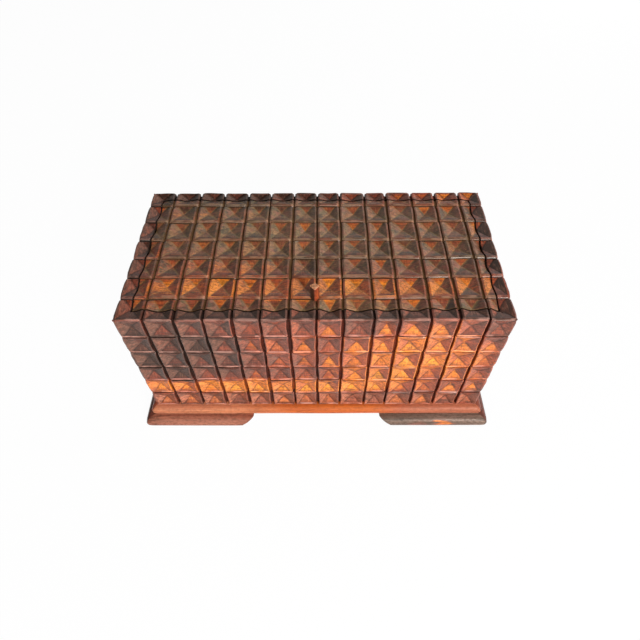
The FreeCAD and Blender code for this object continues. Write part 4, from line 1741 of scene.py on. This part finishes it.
    def build(self, finishes: dict[str, RosewoodFinish]) -> None:
        """Carves, saws apart, closes, dresses and places the five boards.

        Args:
            finishes: The finish of each board by its node.
        """
        sheets = self.sheets(chip_carving_tree())
        sway = hand_sway_tree()
        walls = ("front_panel", "back_panel", "left_end_panel", "right_end_panel")
        boards = [(node, self.wall(side, sheets), "case", "carved_wood") for node, side in zip(walls, Side)]
        boards.append(("lid_panel", self.lid(sheets), "lid", "lid_wood"))
        for node, board, body, slot in boards:
            mesh = self.hand.dressed(finished_mesh(board, node), sway, finishes[node])
            stand_in(mesh, node, body)


@dataclass
class Base:
    """The plinth of four round-nosed rails, and the eight bracket strips of the feet below it."""

    arcs: int = 14
    station: float = 3.5 * MM
    foot_end_radius: float = 36.0 * MM
    foot_end_corner: float = 8.0 * MM
    corner_round: float = 2.8 * MM
    mitre_reach: float = 0.95
    hand: HandSway = HandSway(0.22 * MM, 34.0 * MM, 0.03 * MM, 7.0 * MM)
    ease: float = 0.3 * MM
    sharp_angle: float = 35.0
    least_stations: int = 4
    keeper_gap: float = 0.03 * MM
    keeper_rise: float = 1.0 * MM

    def strip(self, name: str, side: Side, reach: tuple[float, float], ends: Ends) -> Mesh:
        """Makes one strip with a half-round nose.

        Args:
            name: The solid that the strip stands for, whose levels it takes.
            side: The side that it runs along.
            reach: How far out its inner edge and its nose are.
            ends: The start and the end of its run at a reach and a level.

        Returns:
            The closed strip.
        """
        low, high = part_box(name)[0].z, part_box(name)[1].z
        radius, middle = (high - low) / 2.0, (high + low) / 2.0
        nose, back = [], []
        for step in range(self.arcs + 1):
            turn = math.pi * (step / self.arcs - 0.5)
            level = middle + radius * math.sin(turn)
            nose.append((reach[1] - radius + radius * math.cos(turn), level, math.cos(turn)))
            back.append((reach[0], level, 0.0))
        section = nose + back[::-1]
        strip = bmesh.new()
        skin = strip.verts.layers.float.new("skin")
        start, end = ends(reach[1], high)
        stations = max(self.least_stations, round(abs(end - start) / self.station))
        rings = []
        for station in range(stations + 1):
            ring = []
            for outward, level, share in section:
                start, end = ends(outward, level)
                run = start + (end - start) * (0.5 - 0.5 * math.cos(math.pi * station / stations))
                mitres = [tip for tip in (start, end) if abs(tip) > self.mitre_reach * abs(start)]
                spot = self.rounded_corner(run, outward, mitres) if share else (run, outward)
                vert = strip.verts.new(side.place(*spot, level))
                vert[skin] = share
                ring.append(vert)
            rings.append(ring)
        join_rings(strip, rings)
        count = len(section)
        for ring in (rings[0], rings[-1]):
            for k in range(self.arcs):
                strip.faces.new((ring[k], ring[k + 1], ring[count - 2 - k], ring[count - 1 - k]))
        return finished_mesh(strip, name, self.sharp_angle)

    def rounded_corner(self, run: float, outward: float, mitres: Sequence[float]) -> tuple[float, float]:
        """Rounds the corner where two strips meet, as seen from above.

        Args:
            run: The place along the strip of a point of its nose.
            outward: How far out the point is.
            mitres: The mitred ends of the strip at the point's level.

        Returns:
            The place along the strip and the reach, with the corner worn round.
        """
        worn = self.corner_round
        for tip in mitres:
            past = worn - abs(tip - run)
            if past > 0.0:
                share = worn / math.hypot(past, worn)
                inner = tip - math.copysign(worn, tip)
                return (inner + math.copysign(past * share, tip), outward - worn + worn * share)
        return (run, outward)

    def rail(self, side: Side) -> Mesh:
        """Makes one mitred rail of the plinth.

        Args:
            side: Which rail.

        Returns:
            The rail's mesh.
        """
        name = f"{side.name.lower()}_plinth_rail"
        outer_x, outer_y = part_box("right_plinth_rail")[1].x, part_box("back_plinth_rail")[1].y
        inner_x, inner_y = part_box("right_plinth_rail")[0].x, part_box("back_plinth_rail")[0].y
        reach = (inner_y, outer_y) if side.lengthwise else (inner_x, outer_x)
        run = outer_x if side.lengthwise else outer_y

        def ends(outward: float, level: float) -> tuple[float, float]:
            """Mitres both ends."""
            return (-(run - (reach[1] - outward)), run - (reach[1] - outward))

        mesh = self.strip(name, side, reach, ends)
        if side is Side.FRONT:
            mesh = evaluated(mesh, "BOOLEAN", self.keeper_room(), operation="DIFFERENCE", solver="EXACT")
        return mesh

    def keeper_room(self) -> Mesh:
        """Makes the block that clears the front rail for the keeper of the hidden slide.

        Returns:
            The block's mesh.
        """
        low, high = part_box("slide_keeper")
        gap = Vector((self.keeper_gap, self.keeper_gap, self.keeper_rise))
        block = bmesh.new()
        bmesh.ops.create_cube(block, size=1.0)
        for vert in block.verts:
            share = vert.co + Vector((0.5, 0.5, 0.5))
            vert.co = [a - c + (b - a + 2.0 * c) * k for a, b, c, k in zip(low, high, gap, share)]
        return finished_mesh(block, "keeper_room")

    def foot(self, name: str, side: Side, hand: float) -> Mesh:
        """Makes one strip of a foot, mitred at the corner and rounded up at its inner end.

        Args:
            name: The solid that it stands for.
            side: The side that it runs along.
            hand: Which end of that side it is at, -1 or 1.

        Returns:
            The strip's mesh.
        """
        low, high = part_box(name)
        axis, way = (0, 1) if side.lengthwise else (1, 0)
        reach = sorted((abs(low[way]), abs(high[way])))
        run = max(abs(low[axis]), abs(high[axis]))
        length = high[axis] - low[axis]
        radius, corner = self.foot_end_radius, self.foot_end_corner
        whole = math.sqrt(radius**2 - (radius - high.z) ** 2)

        def ends(outward: float, level: float) -> tuple[float, float]:
            """Mitres the corner and rounds the inner end, from below and from outside.

            Args:
                outward: How far out a line of the strip is.
                level: Its height.

            Returns:
                Where the line starts and ends.
            """
            raised = whole - math.sqrt(max(radius**2 - (radius - level) ** 2, 0.0))
            short = max(corner - (reach[1] - outward), 0.0)
            turned = corner - math.sqrt(corner**2 - short**2)
            tip = length - max(raised, turned)
            return (hand * (run - (reach[1] - outward)), hand * (run - tip))

        return self.strip(name, side, (reach[0], reach[1]), ends)

    def build(self, rails: dict[bool, RosewoodFinish], feet: dict[bool, RosewoodFinish]) -> None:
        """Makes, dresses and places the rails and the feet.

        Args:
            rails: The rails' finish, for those that run lengthwise and for the others.
            feet: The same for the strips of the feet.
        """
        tree = hand_sway_tree()
        strips = []
        for side in Side:
            name = f"{side.name.lower()}_plinth_rail"
            strips.append((name, self.rail(side), rails[side.lengthwise], "plinth_wood"))
        for depth in (Side.FRONT, Side.BACK):
            for hand in (Side.LEFT, Side.RIGHT):
                corner = f"{depth.name.lower()}_{hand.name.lower()}_foot"
                face = self.foot(f"{corner}_face", depth, hand.sign)
                beside = self.foot(f"{corner}_return", hand, depth.sign)
                strips.append((f"{corner}_face", face, feet[True], "foot_wood"))
                strips.append((f"{corner}_return", beside, feet[False], "foot_wood"))
        for node, mesh, finish, slot in strips:
            stand_in(self.hand.dressed(eased(mesh, self.ease), tree, finish), node, "case")


@dataclass
class TurningPeg:
    """The whittled peg that turns the latch: a square head with cut corners on a round shank."""

    corner_cut: float = 0.76
    taper: float = 0.02
    slant: float = 0.4
    knife: float = 0.14 * MM
    shank_share: float = 0.7
    lid_gap: float = 0.0002
    ease: float = 0.12 * MM
    sharp_angle: float = 30.0
    levels: int = 9
    sides: int = 8
    seed: int = 7

    def build(self, finish: RosewoodFinish) -> None:
        """Whittles the peg, dresses it and puts it on the latch.

        Args:
            finish: The peg's wood.
        """
        low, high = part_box("turning_peg")
        middle = (low + high) / 2.0
        half = (high.x - low.x) / 2.0
        shank = half * self.shank_share
        lid_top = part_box("lid_panel")[1].z
        chance = np.random.default_rng(self.seed)
        peg = bmesh.new()
        rings = [self.ring(peg, middle, [shank] * self.sides, height) for height in (low.z, lid_top)]
        for level in range(self.levels):
            part = level / (self.levels - 1)
            height = lid_top + self.lid_gap + (high.z - lid_top - self.lid_gap) * part
            reach = []
            for side in range(self.sides):
                square = half if side % 2 == 0 else half * self.corner_cut
                cut = chance.uniform(-self.knife, 0.0)
                reach.append(square * (1.0 - self.taper * part * part) + cut)
            rings.append(self.ring(peg, middle, reach, height))
        for vert in rings[-1]:
            vert.co.z -= self.slant * abs(middle.y - vert.co.y)
        join_rings(peg, rings)
        peg.faces.new(rings[0])
        peg.faces.new(rings[-1])
        mesh = eased(finished_mesh(peg, "turning_peg", self.sharp_angle), self.ease)
        mesh.materials.append(finish.material())
        stand_in(mesh, "turning_peg", "latch")

    def ring(self, peg: Draft, middle: Vector, reach: Sequence[float], height: float) -> Chain:
        """Adds one ring of corners at a height, the first corner to the right.

        Args:
            peg: The mesh under construction.
            middle: The middle of the peg.
            reach: How far out each corner is.
            height: The ring's height.

        Returns:
            The corners.
        """
        turn = 2.0 * math.pi / self.sides
        return [
            peg.verts.new((middle.x + out * math.cos(turn * k), middle.y + out * math.sin(turn * k), height))
            for k, out in enumerate(reach)
        ]


@dataclass
class Inside:
    """The plain wooden pieces inside the box and under it, softened where they can be seen."""

    ease: float = 0.35 * MM
    softened: tuple[tuple[str, str, tuple[str, ...]], ...] = (
        ("case", "inner_wood", ("bottom_board", "front_ledge", "left_ledge", "right_ledge")),
        ("case", "inner_wood", ("lock_post", "slide_keeper")),
        ("latch", "peg_wood", ("latch_tongue", "latch_spacer")),
        ("slide", "lock_wood", ("secret_slide",)),
    )
    wires: tuple[str, ...] = ("left_hinge_pin", "right_hinge_pin", "latch_cross_pin")

    def build(self, finishes: dict[str, PlainWoodFinish], pins: WireFinish) -> None:
        """Softens and dresses the pieces, and gives the solids that stay their finish.

        Args:
            finishes: The wood of each piece by its node.
            pins: The wire of the pins.
        """
        kept = dict(finishes)
        for body, slot, nodes in self.softened:
            for node in nodes:
                mesh = eased(solid_copy(node), self.ease)
                mesh.materials.clear()
                mesh.materials.append(kept.pop(node).material())
                stand_in(mesh, node, body)
        for node in self.wires:
            self.dress(node, pins.material())
        for node, finish in kept.items():
            self.dress(node, finish.material())

    def dress(self, node: str, material: bpy.types.Material) -> None:
        """Gives a solid that stays its material."""
        frame["nodes"][node].material_slots[0].material = material
        LOG.info("%s: solid kept, dressed in %s", node, material.name)


@dataclass(frozen=True)
class PhotoView:
    """Where the camera stands and how it is turned, fitted to the photograph."""

    position: Triple = (0.00380, -0.20858, 0.30522)
    yaw: float = -0.369
    pitch: float = 51.91
    roll: float = -0.412
    focal_share: float = 491.16 / 640.0
    sensor: float = 36.0
    nearest: float = 0.01

    def build(self) -> None:
        """Makes the camera and hands it to the scene."""
        yaw, pitch, roll = (math.radians(angle) for angle in (self.yaw, self.pitch, self.roll))
        ahead = Vector((math.sin(yaw) * math.cos(pitch), math.cos(yaw) * math.cos(pitch), -math.sin(pitch)))
        right = Vector((math.cos(yaw), -math.sin(yaw), 0.0))
        up = right.cross(ahead)
        turned_right = math.cos(roll) * right + math.sin(roll) * up
        turned_up = -math.sin(roll) * right + math.cos(roll) * up
        lens = bpy.data.cameras.new("photo_view")
        lens.sensor_width = self.sensor
        lens.sensor_fit = "HORIZONTAL"
        lens.lens = self.focal_share * self.sensor
        lens.clip_start = self.nearest
        camera = placed("photo_view", lens)
        axes = Matrix((turned_right, turned_up, -ahead)).transposed()
        camera.matrix_world = Matrix.Translation(self.position) @ axes.to_4x4()
        bpy.context.scene.camera = camera


@dataclass(frozen=True)
class Softbox:
    """A square lamp: where it hangs, how wide it is and how much light it gives."""

    name: str
    position: Triple
    size: float
    power: float
    mirrored: bool = True
    aim: Triple = (0.0, 0.0, 0.06)

    def build(self) -> None:
        """Hangs the lamp and turns it to the object."""
        lamp = bpy.data.lights.new(self.name, "AREA")
        lamp.size = self.size
        lamp.energy = self.power
        holder = placed(self.name, lamp)
        holder.visible_glossy = self.mirrored
        place = Vector(self.position)
        turn = (Vector(self.aim) - place).to_track_quat("-Z", "Y")
        holder.matrix_world = Matrix.Translation(place) @ turn.to_matrix().to_4x4()


@dataclass(frozen=True)
class Studio:
    """The white floor, the white surroundings and the soft lamps."""

    floor_reach: float = 4.0
    floor_glow: float = 0.97
    floor_sheen: float = 0.15
    paper: tuple[Colour, Colour] = (seen(238, 238, 238), seen(244, 244, 243))
    paper_roughness: float = 0.9
    speckle_pitch: float = 40.0
    speckle_layers: float = 3.0
    overhead: Step = Step(0.68, 0.97, 1.0, 0.06)
    room_level: float = 0.38
    room_right: float = 0.5
    room_back: float = 0.4
    fill: float = 0.2
    lamps: tuple[Softbox, ...] = (
        Softbox("key_lamp", (0.42, -0.78, 0.54), 0.3, 11.2),
        Softbox("front_lamp", (-0.2, -0.85, 0.45), 0.4, 2.4),
        Softbox("back_lamp", (0.5, 0.85, 0.35), 0.5, 3.0, mirrored=False),
    )

    def build(self) -> None:
        """Sets up everything round the object."""
        self.floor()
        self.world()
        for lamp in self.lamps:
            lamp.build()
        bpy.context.scene.view_settings.view_transform = "Standard"

    def mirrored(self, path: bpy.types.NodeOutputs, graph: Graph) -> Socket:
        """Tells whether a ray shows the surroundings in a reflection or through glass."""
        return graph.maths("MAXIMUM", path["Is Glossy Ray"], path["Is Transmission Ray"])

    def floor(self) -> None:
        """Lays the pale floor, which keeps the object's shadow."""
        reach = self.floor_reach
        mesh = bpy.data.meshes.new("floor")
        corners = [(-reach, -reach, 0), (reach, -reach, 0), (reach, reach, 0), (-reach, reach, 0)]
        mesh.from_pydata(corners, [], [(0, 1, 2, 3)])
        floor = placed("floor", mesh)
        paper = bpy.data.materials.new("white_paper")
        paper.use_nodes = True
        graph = Graph(paper.node_tree)
        matt = paper.node_tree.nodes["Principled BSDF"]
        place = graph.add("ShaderNodeTexCoord").outputs["Object"]
        speckle = graph.noise(place, self.speckle_pitch, self.speckle_layers)
        graph.feed(matt.inputs["Base Color"], graph.tint(speckle.outputs[0], *self.paper))
        graph.feed(matt.inputs["Roughness"], self.paper_roughness)
        glow = graph.add("ShaderNodeEmission", {"Color": WHITE, "Strength": 1.0})
        path = graph.add("ShaderNodeLightPath").outputs
        straight = graph.product(path["Is Camera Ray"], self.floor_glow)
        share = graph.maths("MULTIPLY_ADD", self.mirrored(path, graph), self.floor_sheen, straight)
        mixed = graph.add("ShaderNodeMixShader", {0: share, 1: matt.outputs[0], 2: glow.outputs[0]})
        output = paper.node_tree.nodes["Material Output"]
        graph.feed(output.inputs["Surface"], mixed.outputs[0])
        mesh.materials.append(paper)

    def world(self) -> None:
        """Lights the room: white to look at, white round the horizon and dark overhead in a reflection."""
        world = bpy.data.worlds.new("studio")
        world.use_nodes = True
        bpy.context.scene.world = world
        graph = Graph(world.node_tree)
        heading = graph.add("ShaderNodeTexCoord").outputs["Generated"]
        way = graph.add("ShaderNodeSeparateXYZ", {0: heading}).outputs
        behind = graph.maths("MULTIPLY_ADD", way[1], self.room_back, self.room_level)
        around = graph.maths("MULTIPLY_ADD", way[0], self.room_right, behind, clamp=True)
        room = graph.product(graph.fade(way[2], self.overhead), around)
        path = graph.add("ShaderNodeLightPath").outputs
        light = graph.blend(self.mirrored(path, graph), self.fill, room)
        back = world.node_tree.nodes["Background"]
        graph.feed(back.inputs["Color"], WHITE)
        graph.feed(back.inputs["Strength"], graph.blend(path["Is Camera Ray"], light, 1.0))


def on_top(*rows: Sequence[float]) -> tuple[Flame, ...]:
    """Makes patches on the lid, each from its place in x and y, its two radii and its tone."""
    level, reach = 105.0, 20.0
    return tuple(Flame((x, y, level), (wide, deep, reach), tone) for x, y, wide, deep, tone in rows)


def on_side(y: float, reach: float, *rows: Sequence[float]) -> tuple[Flame, ...]:
    """Makes patches on the front or the back, each from its place in x and z, its two radii and its tone."""
    return tuple(Flame((x, y, z), (wide, reach, high), tone) for x, z, wide, high, tone in rows)


FRONT_WOOD = RosewoodFinish(
    "front_rosewood",
    carved=True,
    tone=0.37,
    flames=on_side(
        -50,
        20,
        (-15, 82, 34, 30, 0.5),
        (-84, 76, 42, 32, 0.18),
        (56, 70, 44, 32, 0.68),
        (44, 56, 32, 18, 0.76),
        (-34, 38.5, 84, 8, 0.82),
        (82, 40, 30, 10, 0.58),
        (0, 22, 130, 8, 0.48),
    )
    + on_side(-46, 8, (-60, 106, 60, 5, 0.3), (50, 106, 70, 5, 0.42)),
    faded=on_side(-50, 20, (0, 21, 130, 8, 0.8)),
    bleached=seen(190, 120, 92),
)
LID_WOOD = RosewoodFinish(
    "lid_rosewood",
    carved=True,
    tone=0.52,
    # The lid's grooves are covered with a dust colour instead of painted shade.
    groove_shade_and_dust=seen(104, 74, 44),
    groove_fill=Layer.COVERS,
    crease_shade=seen(70, 48, 40),
    worn=seen(138, 114, 90),
    sheen_tint=seen(84, 76, 60),
    stains=(seen(92, 82, 54), seen(144, 84, 68), seen(50, 40, 32)),
    valley_shade=0.3,
    valley_dust=1.0,
    scratch=seen(100, 80, 46),
    flames=on_top(
        (-58, -43, 46, 6, 0.54),
        (-66, -16, 40, 7, 0.62),
        (0, -30, 112, 8, 0.75),
        (-62, -30, 26, 6, 0.8),
        (34, -30, 30, 6, 0.8),
        (-55, 44, 52, 8, 0.16),
        (82, 44, 34, 8, 0.6),
    ),
    # The grey fade over the lid's middle lies mostly on its sheen facets: faded wood, and partly painted
    # sheen.
    faded=on_top(
        (-25, 15, 70, 24, 0.8),
        (45, 14, 52, 24, 0.5),
        (12, -44, 34, 7, 0.7),
    ),
)
BACK_WOOD = RosewoodFinish(
    "back_rosewood",
    carved=True,
    tone=0.42,
    flames=on_side(50, 8, (-60, 106, 60, 6, 0.18), (84, 106, 32, 6, 0.64))
    + on_side(50, 20, (30, 52, 64, 12, 0.74), (-60, 30, 50, 9, 0.66)),
)
LEFT_WOOD = RosewoodFinish(
    "left_rosewood",
    grain=Grain.ALONG_Y,
    carved=True,
    tone=0.34,
    flames=(Flame((-100, 10, 46), (20, 36, 10), 0.72),),
)
RIGHT_WOOD = RosewoodFinish(
    "right_rosewood",
    grain=Grain.ALONG_Y,
    carved=True,
    tone=0.46,
    flames=(Flame((100, -16, 60), (20, 40, 9), 0.68),),
)
RAIL_WOOD = {
    True: RosewoodFinish(
        "rail_rosewood",
        tone=0.6,
        spread=0.35,
        drift=0.5,
        figure=0.45,
        roughness=0.52,
        coat=0.05,
        gloss=0.25,
        flames=on_side(-56, 30, (0, 12, 56, 12, 0.6), (84, 12, 35, 12, 0.5)),
        faded=on_side(-56, 30, (-84, 12, 50, 12, 0.6), (88, 12, 40, 12, 0.35)),
        bleached=seen(196, 138, 108),
    ),
    False: RosewoodFinish("rail_rosewood_side", grain=Grain.ALONG_Y, tone=0.42),
}
FOOT_WOOD = {
    True: RosewoodFinish(
        "foot_rosewood",
        tone=0.36,
        spread=0.25,
        drift=0.3,
        figure=0.75,
        roughness=0.5,
        coat=0.1,
        gloss=0.35,
        flames=on_side(
            -60,
            20,
            (-80, 4, 44, 12, 0.52),
            (86, 4, 50, 12, 0.2),
            (58, 6, 16, 12, 0.12),
            (66, 4.5, 6, 2, 0.38),
            (82, 7.1, 5, 0.5, 0.68),
            (85, 6, 4, 1, 0.7),
            (84, 4.8, 7, 0.9, 0.7),
        ),
        # On the feet at the right end the grey fade is painted pale sheen as well as faded wood.
        faded=on_side(
            -60,
            20,
            (-80, 4, 44, 12, 0.4),
            (86, 4, 50, 12, 0.55),
            (58, 6, 16, 12, 0.42),
            (82, 7.1, 5, 0.5, 0.15),
            (85, 6, 4, 1, 0.15),
            (84, 4.8, 7, 0.9, 0.15),
        ),
        bleached=seen(152, 132, 116),
    ),
    False: RosewoodFinish("foot_rosewood_side", grain=Grain.ALONG_Y, tone=0.3),
}
PEG_WOOD = RosewoodFinish(
    "peg_rosewood",
    grain=Grain.ALONG_Z,
    tone=0.42,
    drift=0.06,
    flames=(
        Flame((-2.2, -39.5, 110), (1.9, 2.4, 8), 0.0, 0.2),
        Flame((1.6, -39.5, 109.5), (1.1, 2.4, 3.6), 0.52),
        Flame((0, -37.5, 116.2), (3.4, 3.4, 1.3), 0.7, 0.25),
    ),
    faded=(Flame((0, -37.5, 116.2), (3.4, 3.4, 1.3), 0.85, 0.25),),
    bleached=seen(196, 150, 118),
)


def inside_finishes() -> dict[str, PlainWoodFinish]:
    """Names the plain wood of every inner piece.

    Returns:
        The finish of each piece by its node.
    """

    def cuts(name: str, dark: Colour, light: Colour) -> dict[Grain, PlainWoodFinish]:
        """Makes one wood for each way that its fibres can run."""
        return {way: PlainWoodFinish(f"{name}_{way.name[-1].lower()}", dark, light, way) for way in Grain}

    cedar = cuts("inner_cedar", seen(112, 70, 44), seen(168, 116, 76))
    maple = cuts("lock_maple", seen(150, 104, 62), seen(204, 160, 108))
    dark = PlainWoodFinish("latch_rosewood", seen(58, 28, 20), seen(122, 64, 38))
    corners = [f"{depth}_{hand}" for depth in ("front", "back") for hand in ("left", "right")]
    upright = [f"{corner}_{kind}" for corner in corners for kind in ("foot_block", "spline")]
    woods = {
        cedar[Grain.ALONG_X]: ("bottom_board", "front_ledge", "slide_keeper"),
        cedar[Grain.ALONG_Y]: ("left_ledge", "right_ledge"),
        cedar[Grain.ALONG_Z]: ("lock_post", "plinth_pegs", *upright),
        maple[Grain.ALONG_X]: ("secret_slide",),
        maple[Grain.ALONG_Z]: ("lock_rod",),
        dark: ("latch_tongue", "latch_spacer"),
    }
    return {node: wood for wood, nodes in woods.items() for node in nodes}


def main() -> None:
    """Builds the box piece by piece, then the studio."""
    logging.basicConfig(level=logging.INFO, format="%(name)s %(message)s")
    PhotoView().build()
    CarvedBox().build(
        {
            "front_panel": FRONT_WOOD,
            "back_panel": BACK_WOOD,
            "left_end_panel": LEFT_WOOD,
            "right_end_panel": RIGHT_WOOD,
            "lid_panel": LID_WOOD,
        }
    )
    Base().build(RAIL_WOOD, FOOT_WOOD)
    TurningPeg().build(PEG_WOOD)
    Inside().build(inside_finishes(), WireFinish())
    Studio().build()


if __name__ == "__main__":
    main()
